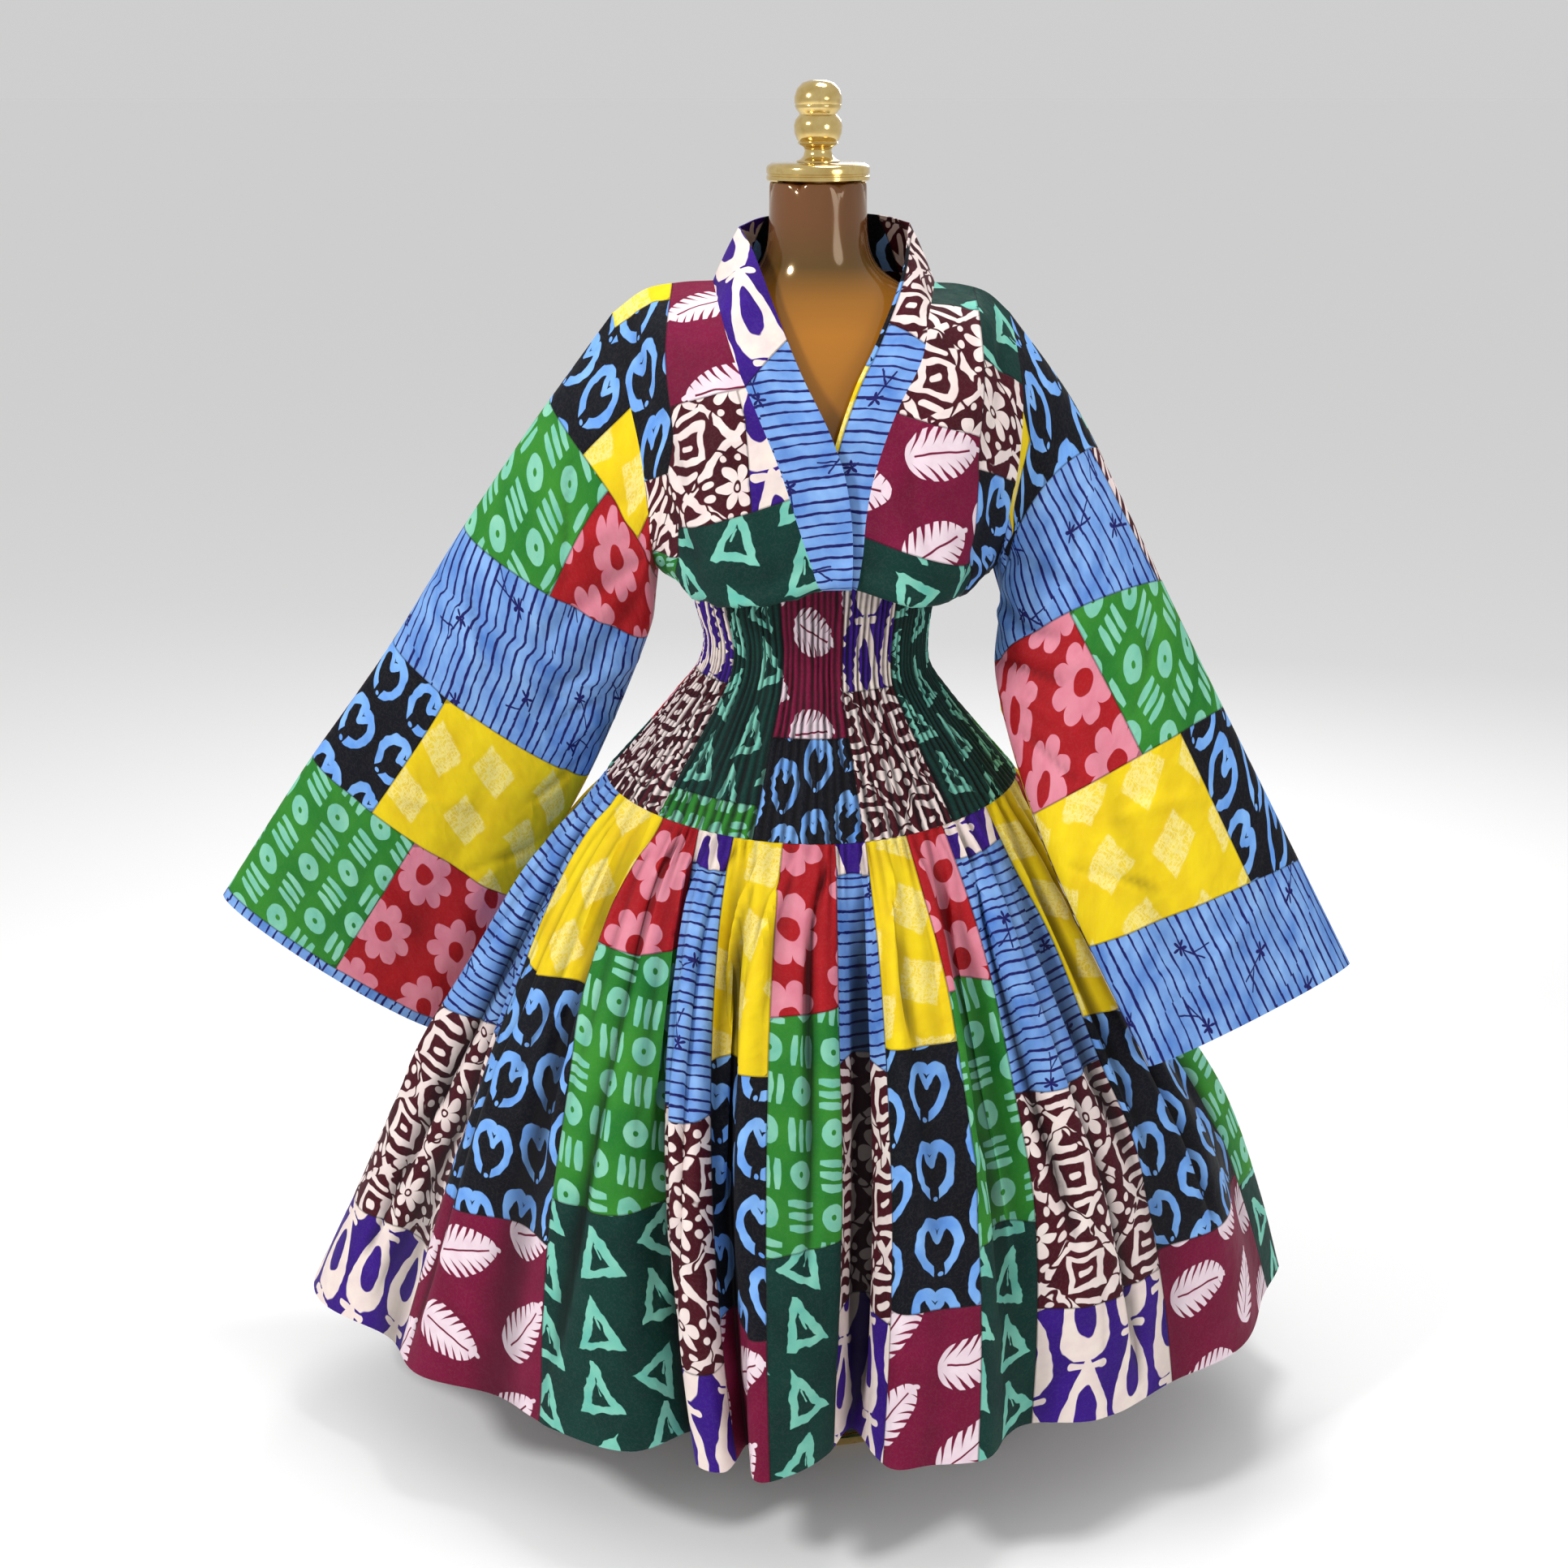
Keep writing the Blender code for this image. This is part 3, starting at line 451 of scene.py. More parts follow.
def maroon_lattice(x, y):
    """A loose cream lattice on the slant, with a small box or a flower in each space, on maroon."""
    ground = washed(x, y, dye(74, 10, 26), dye(56, 6, 18))
    wx, wy = x + uneven(x, y, 44, 1.0) * 24, y + uneven(x, y, 44, 5.0) * 24
    i, px = cell((wx + wy) * 0.7071, 80)
    j, py = cell((wy - wx) * 0.7071, 80)
    edge = abs(px).most(abs(py)) * -1 + 40
    wide = uneven(x, y, 18, 3.0) * 8 + 4.6
    broken = inside(abs(uneven(x, y, 34, 9.0, 1.0)) * -70 + 1.6)
    net = inside(edge - wide) * broken
    odd = (i + j).by("FLOORED_MODULO", 2.0)
    bx, by = (px - py) * 0.7071, (px + py) * 0.7071
    box = abs(bx * 0.85).most(abs(by)) + uneven(x, y, 18, 2.0) * 7
    boxes = inside(abs(box - 17) - 3.9).most(inside(stroke(bx, by, (-5, 1), (5, -1)) - 3.6))
    boxes = boxes.most(inside(stroke(bx, by, (-18, -34), (10, -31)) - 3.8))
    boxes = boxes.most(inside(stroke(bx, by, (-10, 33), (16, 34)) - 3.8))
    far = length(bx, by)
    lobes = abs((by.by("ARCTAN2", bx) * 3).by("COSINE")).root()
    flower = inside(far + uneven(x, y, 16, 6.0) * 7 - (lobes * 20 + 5)) * inside(far * -1 + 5.5)
    flower = flower.most(inside(length(abs(bx) - 31, abs(by) - 9) - 4.6)).most(inside(far - 2.8))
    flower = flower.most(inside(length(abs(bx) - 9, abs(by) - 33) - 4.4))
    ink = net.most(boxes * odd).most(flower * (odd * -1 + 1))
    tone = washed(x, y, dye(240, 226, 220), dye(226, 206, 204), 26)
    return over(x.tree, ground, tone, ink)


PRINTS = [blue_lines, yellow_squares, red_flowers, black_hearts, green_rings, dark_triangles,
          burgundy_leaves, purple_loops, maroon_lattice]
BLUE, YELLOW, RED, BLACK, GREEN, DARK, BURGUNDY, PURPLE, MAROON = PRINTS


def printed(draw):
    """Cotton with a print: dyed through, woven, creased, drawn in along each seam, and with painted shade in
    its hollows.
    """
    made, tree, shader = finish(draw.__name__, 0.68)
    shader.inputs["Sheen Weight"].default_value = 0.02
    shader.inputs["Sheen Roughness"].default_value = 0.4
    shader.inputs["Specular IOR Level"].default_value = 0.16
    on_cloth = tree.nodes.new("ShaderNodeUVMap")
    on_cloth.uv_map = "cloth"
    split = tree.nodes.new("ShaderNodeSeparateXYZ")
    tree.links.new(on_cloth.outputs[0], split.inputs[0])
    x, y = Ink(tree, split.outputs[0]) * 1000, Ink(tree, split.outputs[1]) * 1000
    colour = draw(x, y)
    seam = tree.nodes.new("ShaderNodeAttribute")
    seam.attribute_name = "seam"
    near = Ink(tree, seam.outputs["Fac"]) * 1000
    groove = inside(near - 0.9, 1.4)
    colour = over(tree, colour, dye(20, 14, 18), groove * 0.55)
    faded = inside(abs(uneven(x, y, 6.0, 2.0, 2.0)) * 30 - 0.8, 1.5) * 0.012
    colour = over(tree, colour, dye(225, 215, 205), faded)
    # Painted shade: cloth deep in a gather lies in the shade of the ridges beside it, and that shade is
    # painted into its colour here.
    deep = tree.nodes.new("ShaderNodeAttribute")
    deep.attribute_name = "deep"
    colour = over(tree, colour, dye(8, 6, 10), Ink(tree, deep.outputs["Fac"]))
    tree.links.new(colour, shader.inputs["Base Color"])
    threads = (x * (math.tau / 0.6)).by("SINE") * (y * (math.tau / 0.6)).by("SINE") * 0.006
    crumple = uneven(x, y, 48, 1.0, 2.0) * 3.2 + uneven(x + y, y - x * 0.4, 17, 5.0, 1.0) * 0.8
    crumple = crumple - abs(uneven(x * 0.7 + y, y * 0.7 - x, 70, 9.0, 2.0)) * 5
    pucker = inside(near - 9, 12) * uneven(x, y, 8, 7.0, 1.0) * 1.3
    body = (crumple + pucker + threads - groove * 1.2) * 0.001
    bump(tree, shader, body.socket, 0.75, 1.0)
    return made


cottons = {draw.__name__: printed(draw) for draw in PRINTS}


# Bodice. The real one is two crossover fronts and one back, sewn from patches with narrow seams,
# bloused over the waist and turned back under to the waist seam. The fronts are softly creased.
CLOTH = 0.0010
PRESSED = 1.65
WAIST_SEAM_Z = 1.066
TURN = 0.010
TURNED_UNDER = [0.97, 1.0]
WAIST_LEFT, WAIST_RIGHT, WAIST_FRONT, WAIST_BACK = 0.145, 0.141, 0.112, 0.098
UNDERARM = 0.88
BODICE_V = [0, 0.07, 0.14, 0.22, 0.30, 0.38, 0.46, 0.54, 0.62, 0.70, 0.78, 0.83, UNDERARM,
            0.91, 0.94, 0.97, 1.0]
# Place down the panel, then x, y, z at the neckband seam, at one third, two thirds and the side.
FRONT_LEFT = [
    (0.00, -0.118, 0.000, 1.393, -0.155, 0.000, 1.391, -0.195, 0.000, 1.383, -0.232, 0.000, 1.357),
    (0.14, -0.106, -0.080, 1.362, -0.145, -0.073, 1.358, -0.187, -0.060, 1.345, -0.222, -0.038, 1.322),
    (0.30, -0.090, -0.115, 1.316, -0.130, -0.110, 1.308, -0.174, -0.095, 1.294, -0.211, -0.066, 1.272),
    (0.46, -0.066, -0.137, 1.262, -0.110, -0.140, 1.250, -0.155, -0.122, 1.235, -0.198, -0.080, 1.212),
    (0.62, -0.040, -0.152, 1.200, -0.088, -0.160, 1.187, -0.140, -0.143, 1.172, -0.191, -0.082, 1.150),
    (0.78, -0.022, -0.162, 1.145, -0.075, -0.174, 1.128, -0.130, -0.155, 1.112, -0.189, -0.060, 1.103),
    (0.88, -0.008, -0.168, 1.104, -0.066, -0.180, 1.085, -0.130, -0.148, 1.076, -0.186, 0.000, 1.064),
    (0.94, 0.004, -0.165, 1.074, -0.062, -0.172, 1.058, -0.122, -0.126, 1.054, -0.168, 0.000, 1.056),
]
FRONT_RIGHT = [
    (0.00, 0.131, 0.000, 1.391, 0.160, 0.000, 1.389, 0.190, 0.000, 1.380, 0.216, 0.000, 1.358),
    (0.14, 0.122, -0.074, 1.364, 0.155, -0.068, 1.359, 0.192, -0.058, 1.345, 0.223, -0.038, 1.318),
    (0.30, 0.113, -0.110, 1.318, 0.150, -0.107, 1.308, 0.192, -0.093, 1.292, 0.228, -0.066, 1.268),
    (0.46, 0.085, -0.136, 1.264, 0.132, -0.140, 1.250, 0.180, -0.122, 1.235, 0.225, -0.080, 1.210),
    (0.62, 0.062, -0.150, 1.200, 0.115, -0.160, 1.187, 0.166, -0.143, 1.172, 0.216, -0.082, 1.150),
    (0.78, 0.052, -0.159, 1.148, 0.108, -0.172, 1.130, 0.160, -0.152, 1.113, 0.209, -0.060, 1.103),
    (0.88, 0.048, -0.165, 1.106, 0.104, -0.176, 1.088, 0.156, -0.142, 1.077, 0.204, 0.000, 1.064),
    (0.94, 0.042, -0.163, 1.074, 0.098, -0.168, 1.058, 0.142, -0.122, 1.054, 0.182, 0.000, 1.056),
]
LEFT_END, RIGHT_END = math.radians(5.3), math.radians(15.0)
# Place, half width left and right, y at side and middle, z at side and middle, fullness.
BACK = [
    (0.14, 0.224, 0.223, 0.036, 0.108, 1.322, 1.366, 0.8),
    (0.30, 0.213, 0.228, 0.060, 0.118, 1.272, 1.312, 0.8),
    (0.46, 0.200, 0.225, 0.070, 0.122, 1.212, 1.252, 0.8),
    (0.62, 0.192, 0.216, 0.070, 0.126, 1.150, 1.190, 0.8),
    (0.78, 0.190, 0.209, 0.050, 0.132, 1.103, 1.136, 0.8),
    (0.88, 0.186, 0.204, 0.000, 0.136, 1.064, 1.096, 0.9),
    (0.94, 0.168, 0.182, 0.000, 0.126, 1.056, 1.060, 0.9),
]
BACK_NECK = [(-0.085, 0.062, 1.398), (0.0, 0.090, 1.402), (0.094, 0.062, 1.397)]


def smooth(knots, values, at):
    """Values between the rows of a table, on a smooth curve through them."""
    k, v, at = np.asarray(knots, float), np.asarray(values, float), np.asarray(at, float)
    step = np.diff(k)
    slope = np.diff(v, axis=0) / step.reshape(-1, *[1] * (v.ndim - 1))
    tangent = np.empty_like(v)
    tangent[0], tangent[-1] = slope[0], slope[-1]
    w = (step[1:] / (step[1:] + step[:-1])).reshape(-1, *[1] * (v.ndim - 1))
    tangent[1:-1] = w * slope[:-1] + (1 - w) * slope[1:]
    i = np.clip(np.searchsorted(k, at, side="right") - 1, 0, len(step) - 1)
    h = step[i]
    s = ((at - k[i]) / h).reshape(-1, *[1] * (v.ndim - 1))
    h = h.reshape(s.shape)
    return ((1 + 2 * s) * (1 - s) ** 2 * v[i] + s * (1 - s) ** 2 * h * tangent[i]
            + s * s * (3 - 2 * s) * v[i + 1] + s * s * (s - 1) * h * tangent[i + 1])


def stops(knots, step):
    """Places from the first knot to the last, with every knot among them, no further apart than step."""
    runs = [np.linspace(a, b, max(1, math.ceil((b - a) / step)), endpoint=False)
            for a, b in zip(knots[:-1], knots[1:])]
    return np.concatenate(runs + [[knots[-1]]])


def ring(left, right, front, back, angle, power=2.0):
    """x and y at angles from the centre front (0) to the right (+) and on to the back."""
    s, c = np.sin(angle), np.cos(angle)
    x = np.where(s >= 0, right, left) * s
    y = -np.sign(c) * np.where(c >= 0, front, back) * (1 - np.minimum(np.abs(s), 1) ** power) ** (1 / power)
    return x, y


def waist_seam(angles, wider=0.0):
    x, y = ring(WAIST_LEFT + wider, WAIST_RIGHT + wider, WAIST_FRONT + wider, WAIST_BACK + wider, angles)
    return np.stack([x, y, np.full_like(x, WAIST_SEAM_Z)], axis=1)


def front_panel(table, end, side, v, u):
    """Rows from the shoulder to the waist seam. u, from neckband (0) to side (1), may differ by row."""
    knots = [row[0] for row in table] + TURNED_UNDER
    many = np.linspace(0, 1, 121)
    rows = [smooth([0, 1 / 3, 2 / 3, 1], np.reshape(row[1:], (4, 3)), many) for row in table]
    rows += [waist_seam(end + (side - end) * many, wider) for wider in (TURN, 0)]
    full = smooth(knots, rows, v)
    rows = [[np.interp(at, many, row[:, k]) for k in range(3)] for at, row in zip(u, full)]
    return np.stack(rows).transpose(0, 2, 1)


def back_panel(left, right, v, per):
    """Rows as the fronts, columns from the left side over the back neck to the right side."""
    neck = np.array([left[0], *BACK_NECK, right[0]])
    neck = smooth(np.linspace(0, 1, len(neck)), neck, np.linspace(0, 1, 8 * per + 1))
    top = np.concatenate([left[::-1], neck[1:-1], right])
    along = np.concatenate([[0], np.cumsum(np.linalg.norm(np.diff(top, axis=0), axis=1))])
    angle = (along / along[-1] - 0.5) * math.pi
    s, c = np.sin(angle), np.maximum(np.cos(angle), 0)
    rows, knots = [top], [0.0]
    for at, xl, xr, y_side, y_mid, z_side, z_mid, full in BACK:
        x = np.where(s >= 0, xr, xl) * s
        y, z = (side + (mid - side) * c**full for side, mid in ((y_side, y_mid), (z_side, z_mid)))
        rows.append(np.stack([x, y, z], axis=1))
        knots.append(at)
    rows += [waist_seam(math.pi - angle, wider) for wider in (TURN, 0)]
    return smooth(knots + TURNED_UNDER, rows, v)


def normals(grid, centre, around=False):
    """Unit normals of a grid, pointing away from the centre."""
    if around:
        wide = np.concatenate([grid[:, -2:-1], grid, grid[:, 1:2]], axis=1)
        du = (wide[:, 2:] - wide[:, :-2]) / 2
    else:
        du = np.gradient(grid, axis=1)
    n = np.cross(du, np.gradient(grid, axis=0))
    n /= np.maximum(np.linalg.norm(n, axis=2), 1e-9)[:, :, None]
    return n if (n * (grid - centre)).sum() > 0 else -n


def creased(grid, field, creases):
    """Troughs (-) and ridges (+) pressed into a panel, each with its own ends, width and depth in mm.

    Ends are places across and down the panel, from 0 to 1."""
    wide = np.linalg.norm(np.diff(grid, axis=1), axis=2).sum(1).mean()
    tall = np.linalg.norm(np.diff(grid, axis=0), axis=2).sum(0).mean()
    across = np.concatenate([np.zeros((len(grid), 1)),
                             np.cumsum(np.linalg.norm(np.diff(grid, axis=1), axis=2), axis=1)], axis=1)
    across *= (wide / across[:, -1])[:, None]
    down = np.concatenate([np.zeros((1, grid.shape[1])),
                           np.cumsum(np.linalg.norm(np.diff(grid, axis=0), axis=2), axis=0)])
    down *= (tall / down[-1])[None, :]
    move = np.zeros(grid.shape[:2])
    for a, b, c, d, width, depth in creases:
        start, run = np.array([a * wide, b * tall]), np.array([(c - a) * wide, (d - b) * tall])
        px, py = across - start[0], down - start[1]
        h = (px * run[0] + py * run[1]) / (run**2).sum()
        side = (px * run[1] - py * run[0]) / np.linalg.norm(run)
        # A crease wanders a little, is widest in its middle, and fades out at both ends.
        side = side + 0.004 * np.sin(h * 5 + a * 40 + b * 17)
        ends = np.clip(1 - (2 * np.clip(h, -0.5, 1.5) - 1) ** 4, 0, 1)
        move += PRESSED * depth / 1000 * ends * np.exp(-(side / (width / 1000 * (0.65 + 0.35 * ends))) ** 2)
    return grid + field * move[:, :, None]


def pressed(grid, centre, creases, around=False):
    """The panel with its creases, and its normals after them."""
    grid = creased(grid, normals(grid, centre, around), creases)
    return grid, normals(grid, centre, around)


def painted_hollow_shade(grid, field, reach, dark, full):
    """How much painted shade the cloth gets where it lies deeper than the cloth on both sides of it, from 0
    to dark.
    """
    step = np.linalg.norm(np.diff(grid, axis=1), axis=2).mean()
    n = max(2, int(reach / step))
    wide = np.pad(grid, ((0, 0), (n, n), (0, 0)), mode="edge")
    total = np.cumsum(np.concatenate([np.zeros((len(grid), 1, 3)), wide], axis=1), axis=1)
    around = (total[:, 2 * n + 1:] - total[:, :-2 * n - 1]) / (2 * n + 1)
    lower = ((around - grid) * field).sum(2)
    return np.clip(lower / full, 0, 1) * dark


def sewn(name, grid, field, patches, around=False, gathered=1.0, thick=CLOTH, deep=None):
    """A closed thin shell on a grid, with a print, a cloth position and a distance to the nearest seam.

    A patch is first row, last row, first column, last column, print, quarter turns, and it may add
    how far its print is moved across and down."""
    rows, cols, _ = grid.shape
    kept = cols - 1 if around else cols  # once round, the last column lies on the first
    outer = grid[:, :kept].reshape(-1, 3)
    points = np.concatenate([outer, outer - thick * field[:, :kept].reshape(-1, 3)])
    n = rows * kept
    index = np.arange(rows)[:, None] * kept + (np.arange(cols) % kept)[None, :]
    quads = np.stack([index[:-1, :-1], index[:-1, 1:], index[1:, 1:], index[1:, :-1]], axis=2).reshape(-1, 4)
    step = np.linalg.norm(np.diff(grid, axis=1), axis=2)
    across = np.concatenate([np.zeros((rows, 1)), np.cumsum(step, axis=1)], axis=1) * gathered
    step = np.linalg.norm(np.diff(grid, axis=0), axis=2)
    down = np.concatenate([np.zeros((1, cols)), np.cumsum(step, axis=0)])
    used, look = [], np.zeros((rows - 1, cols - 1), int)
    uv = np.zeros((rows - 1, cols - 1, 4, 2))
    whose = np.full((rows - 1, cols - 1), -1)
    for k, (r0, r1, c0, c1, draw, turned_by, *moved) in enumerate(patches):
        if draw.__name__ not in used:
            used.append(draw.__name__)
        middle = (c0 + c1) // 2
        a = across - across[:, middle:middle + 1]
        b = down - down[r0:r0 + 1, middle:middle + 1]
        shift = moved or (0.137 * (k * 7 % 11), 0.171 * (k * 5 % 13))
        for _ in range(turned_by % 4):
            a, b = b, -a
        a, b = a + shift[0], b + shift[1]
        look[r0:r1, c0:c1] = used.index(draw.__name__)
        whose[r0:r1, c0:c1] = k
        for corner, (i, j) in enumerate(((0, 0), (0, 1), (1, 1), (1, 0))):
            uv[r0:r1, c0:c1, corner, 0] = a[r0 + i:r1 + i, c0 + j:c1 + j]
            uv[r0:r1, c0:c1, corner, 1] = b[r0 + i:r1 + i, c0 + j:c1 + j]
    on_seam = np.zeros((rows, cols), bool)
    change = whose[1:] != whose[:-1]
    on_seam[1:-1, :-1] |= change
    on_seam[1:-1, 1:] |= change
    change = whose[:, 1:] != whose[:, :-1]
    on_seam[:-1, 1:-1] |= change
    on_seam[1:, 1:-1] |= change
    # Distances are measured to points along each seam, close enough together to make a line of it.
    marks = [grid[on_seam]]
    for one, other, both in ((grid[:, 1:], grid[:, :-1], on_seam[:, 1:] & on_seam[:, :-1]),
                             (grid[1:], grid[:-1], on_seam[1:] & on_seam[:-1])):
        marks += [one[both] * w + other[both] * (1 - w) for w in (0.25, 0.5, 0.75)]
    marks = np.concatenate(marks)
    near = np.full(n, 0.05)
    if len(marks):
        tree = kdtree.KDTree(len(marks))
        for i, p in enumerate(marks):
            tree.insert(p, i)
        tree.balance()
        near = np.array([min(tree.find(p)[2], 0.05) for p in outer])
        near[on_seam[:, :kept].reshape(-1)] = 0
    rim = []
    for line in ([index[0], index[-1][::-1]] if around else
                 [index[0], index[:, -1], index[-1][::-1], index[:, 0][::-1]]):
        rim.append(np.stack([line[1:], line[:-1], line[:-1] + n, line[1:] + n], axis=1))
    rim = np.concatenate(rim)
    faces = np.concatenate([quads, quads[:, ::-1] + n, rim])
    a, b, c, d = (points[faces[:, k]] for k in range(4))
    volume = (np.cross(b - a, c - a) * a).sum() + (np.cross(c - a, d - a) * a).sum()
    flat_uv = uv.reshape(-1, 4, 2)
    all_uv = np.concatenate([flat_uv, flat_uv[:, ::-1], np.zeros((len(rim), 4, 2))])
    which = np.concatenate([look.reshape(-1), look.reshape(-1), np.zeros(len(rim), int)])
    # The raw edge takes the print of the patch beside it, from the nearest corner of the grid.
    prints = look.reshape(-1)
    beside = {int(v): (flat_uv[f, k], prints[f]) for k in range(4) for f, v in enumerate(quads[:, k])}
    for f, corners in enumerate(rim):
        which[2 * len(quads) + f] = beside[int(corners[1])][1]
        all_uv[2 * len(quads) + f] = beside[int(corners[1])][0]
    if volume < 0:
        faces, all_uv = faces[:, ::-1], all_uv[:, ::-1]
    mesh = bpy.data.meshes.new(name)
    mesh.vertices.add(len(points))
    mesh.vertices.foreach_set("co", points.reshape(-1))
    mesh.loops.add(faces.size)
    mesh.loops.foreach_set("vertex_index", faces.reshape(-1))
    mesh.polygons.add(len(faces))
    mesh.polygons.foreach_set("loop_start", np.arange(len(faces)) * 4)
    for draw in used:
        mesh.materials.append(cottons[draw])
    mesh.polygons.foreach_set("material_index", which)
    layer = mesh.uv_layers.new(name="cloth")
    layer.data.foreach_set("uv", all_uv.reshape(-1))
    mesh.attributes.new("seam", "FLOAT", "POINT").data.foreach_set("value", np.concatenate([near, near]))
    # The painted shade of the hollows, kept on the cloth as its deep attribute.
    shade = np.zeros(n) if deep is None else deep.reshape(-1)
    mesh.attributes.new("deep", "FLOAT", "POINT").data.foreach_set("value", np.concatenate([shade, shade]))
    mesh.update(calc_edges=True)
    obj = bpy.data.objects.new(name, mesh)
    bpy.context.scene.collection.objects.link(obj)
    bpy.ops.object.select_all(action="DESELECT")
    bpy.context.view_layer.objects.active = obj
    obj.select_set(True)
    bpy.ops.object.shade_smooth_by_angle(angle=math.radians(60))
    return obj


def spot(places, value):
    """The row or column nearest a place."""
    return int(np.argmin(np.abs(np.asarray(places) - value)))


def on_dress(obj, nodes):
    """Fixes a finished panel to the dress, in place of its nodes."""
    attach(obj, "root")
    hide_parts(*nodes.split())


SEAMS_DOWN = [0.06, 0.10, 0.25, 0.38, 0.46, 0.54, 0.70, 0.78, 0.80, 0.82]
V = stops([0, *SEAMS_DOWN, UNDERARM, 0.97, 1.0], 0.0105)
Q = stops([0, 0.22, 0.62, 1.0], 0.021)
# Seams down the left front: places from the neckband, at places down.
STRIP = np.interp(V, [0.30, 0.46, 0.62, 0.70, 1.0], [0.05, 0.10, 0.243, 0.275, 0.30])
LEFT_SIDE = np.interp(V, [0, 0.38, 0.54, 1.0], [0.41, 0.65, 0.80, 0.82])
RIGHT_SIDE = np.interp(V, [0, 0.25, 0.46, 0.56, 1.0], [0.50, 0.56, 0.66, 0.72, 0.78])
u_left = [np.interp(Q, [0, 0.22, 0.62, 1], [0, a, b, 1]) for a, b in zip(STRIP, LEFT_SIDE)]
u_right = [np.interp(Q, [0, 0.62, 1], [0, b, 1]) for b in RIGHT_SIDE]
left = front_panel(FRONT_LEFT, LEFT_END, -math.pi / 2, V, u_left)
right = front_panel(FRONT_RIGHT, RIGHT_END, math.pi / 2, V, u_right)
PER = 12
even = np.linspace(0, 1, 7 * PER + 1)
top_left = front_panel(FRONT_LEFT, LEFT_END, -math.pi / 2, V[:1], [even])[0]
top_right = front_panel(FRONT_RIGHT, RIGHT_END, math.pi / 2, V[:1], [even])[0]
back = back_panel(top_left, top_right, V, PER)
low = spot(V, UNDERARM)
for panel, column in ((left, 0), (right, -1)):
    side = (panel[low:, -1] + back[low:, column]) / 2
    side[:, 1] = 0
    panel[low:, -1] = back[low:, column] = side
chest = np.array([0.0, 0.0, 1.20])


def bodice(name, grid, creases, patches, node):
    grid, field = pressed(grid, chest, creases)
    # The hollows of the creases get painted shade.
    obj = sewn(name, grid, field, patches, deep=painted_hollow_shade(grid, field, 0.014, 0.5, 0.003))
    on_dress(obj, node)


LEFT_CREASES = [  # across, down, to across, down, width mm, depth mm
    (0.85, 0.05, 0.60, 0.62, 16, -3.2), (0.55, 0.02, 0.50, 0.40, 11, 1.6), (0.98, 0.50, 0.45, 0.78, 14, -3.0),
    (0.90, 0.66, 0.50, 0.90, 10, 2.2), (0.20, 0.30, 0.42, 0.72, 13, 1.8), (0.30, 0.80, 0.27, 1.02, 6, -2.6),
    (0.42, 0.76, 0.41, 1.02, 5, 2.0), (0.52, 0.82, 0.53, 1.02, 5, -2.4), (0.64, 0.78, 0.66, 1.02, 6, 2.2),
    (0.75, 0.83, 0.78, 1.02, 5, -2.4), (0.12, 0.84, 0.14, 1.02, 5, 1.8), (0.86, 0.80, 0.90, 1.0, 6, -2.0),
]
RIGHT_CREASES = [
    (0.80, 0.06, 0.58, 0.58, 15, -3.0), (0.50, 0.03, 0.46, 0.36, 10, 1.7), (0.98, 0.48, 0.50, 0.80, 13, -3.2),
    (0.92, 0.70, 0.55, 0.92, 9, 2.2), (0.16, 0.46, 0.36, 0.80, 12, -1.8), (0.24, 0.80, 0.22, 1.02, 6, 2.4),
    (0.36, 0.83, 0.36, 1.02, 5, -2.4), (0.49, 0.80, 0.50, 1.02, 5, 2.2), (0.60, 0.84, 0.62, 1.02, 5, -2.2),
    (0.72, 0.79, 0.75, 1.02, 6, 2.0), (0.86, 0.82, 0.88, 1.0, 5, -2.0),
]
a, b, c, d = spot(Q, 0.22), spot(Q, 0.62), len(Q) - 1, len(V) - 1
r = {v: spot(V, v) for v in SEAMS_DOWN}
patches = [
    (0, r[0.38], 0, b, BURGUNDY, 0, 0.049, -0.011), (0, r[0.06], b, c, YELLOW, 0),
    (r[0.06], r[0.54], b, c, BLACK, 0), (r[0.38], r[0.70], 0, a, PURPLE, 0),
    (r[0.38], r[0.70], a, b, MAROON, 0), (r[0.54], r[0.80], b, c, MAROON, 0),
    (r[0.70], d, 0, b, DARK, 0), (r[0.80], d, b, c, GREEN, 0),
]
bodice("left_front", left, LEFT_CREASES, patches, "bodice_front_left")
patches = [
    (0, r[0.10], 0, b, DARK, 0), (0, r[0.25], b, c, DARK, 1),
    (r[0.10], r[0.46], 0, b, MAROON, 0), (r[0.25], r[0.54], b, c, MAROON, 0),
    (r[0.46], r[0.82], 0, b, BURGUNDY, 0), (r[0.54], d, b, c, BLACK, 0),
    (r[0.82], d, 0, b, DARK, 2),
]
bodice("right_front", right, RIGHT_CREASES, patches, "bodice_front_right")

BACK_CREASES = [
    (0.16, 0.10, 0.22, 0.62, 16, -3.4), (0.84, 0.10, 0.78, 0.60, 15, -3.2), (0.30, 0.60, 0.31, 1.02, 9, 2.4),
    (0.40, 0.70, 0.40, 1.02, 7, -2.6), (0.50, 0.62, 0.50, 1.02, 9, 2.6), (0.58, 0.72, 0.58, 1.02, 7, -2.4),
    (0.67, 0.66, 0.66, 1.02, 9, 2.2), (0.76, 0.74, 0.75, 1.02, 7, -2.4), (0.22, 0.76, 0.23, 1.02, 7, -2.2),
    (0.12, 0.80, 0.13, 1.02, 7, 2.0), (0.88, 0.78, 0.87, 1.02, 7, 2.2), (0.45, 0.10, 0.47, 0.55, 18, -1.6),
]
count = back.shape[1] - 1
first, second, third = round(count * 0.27), round(count * 0.5), round(count * 0.73)
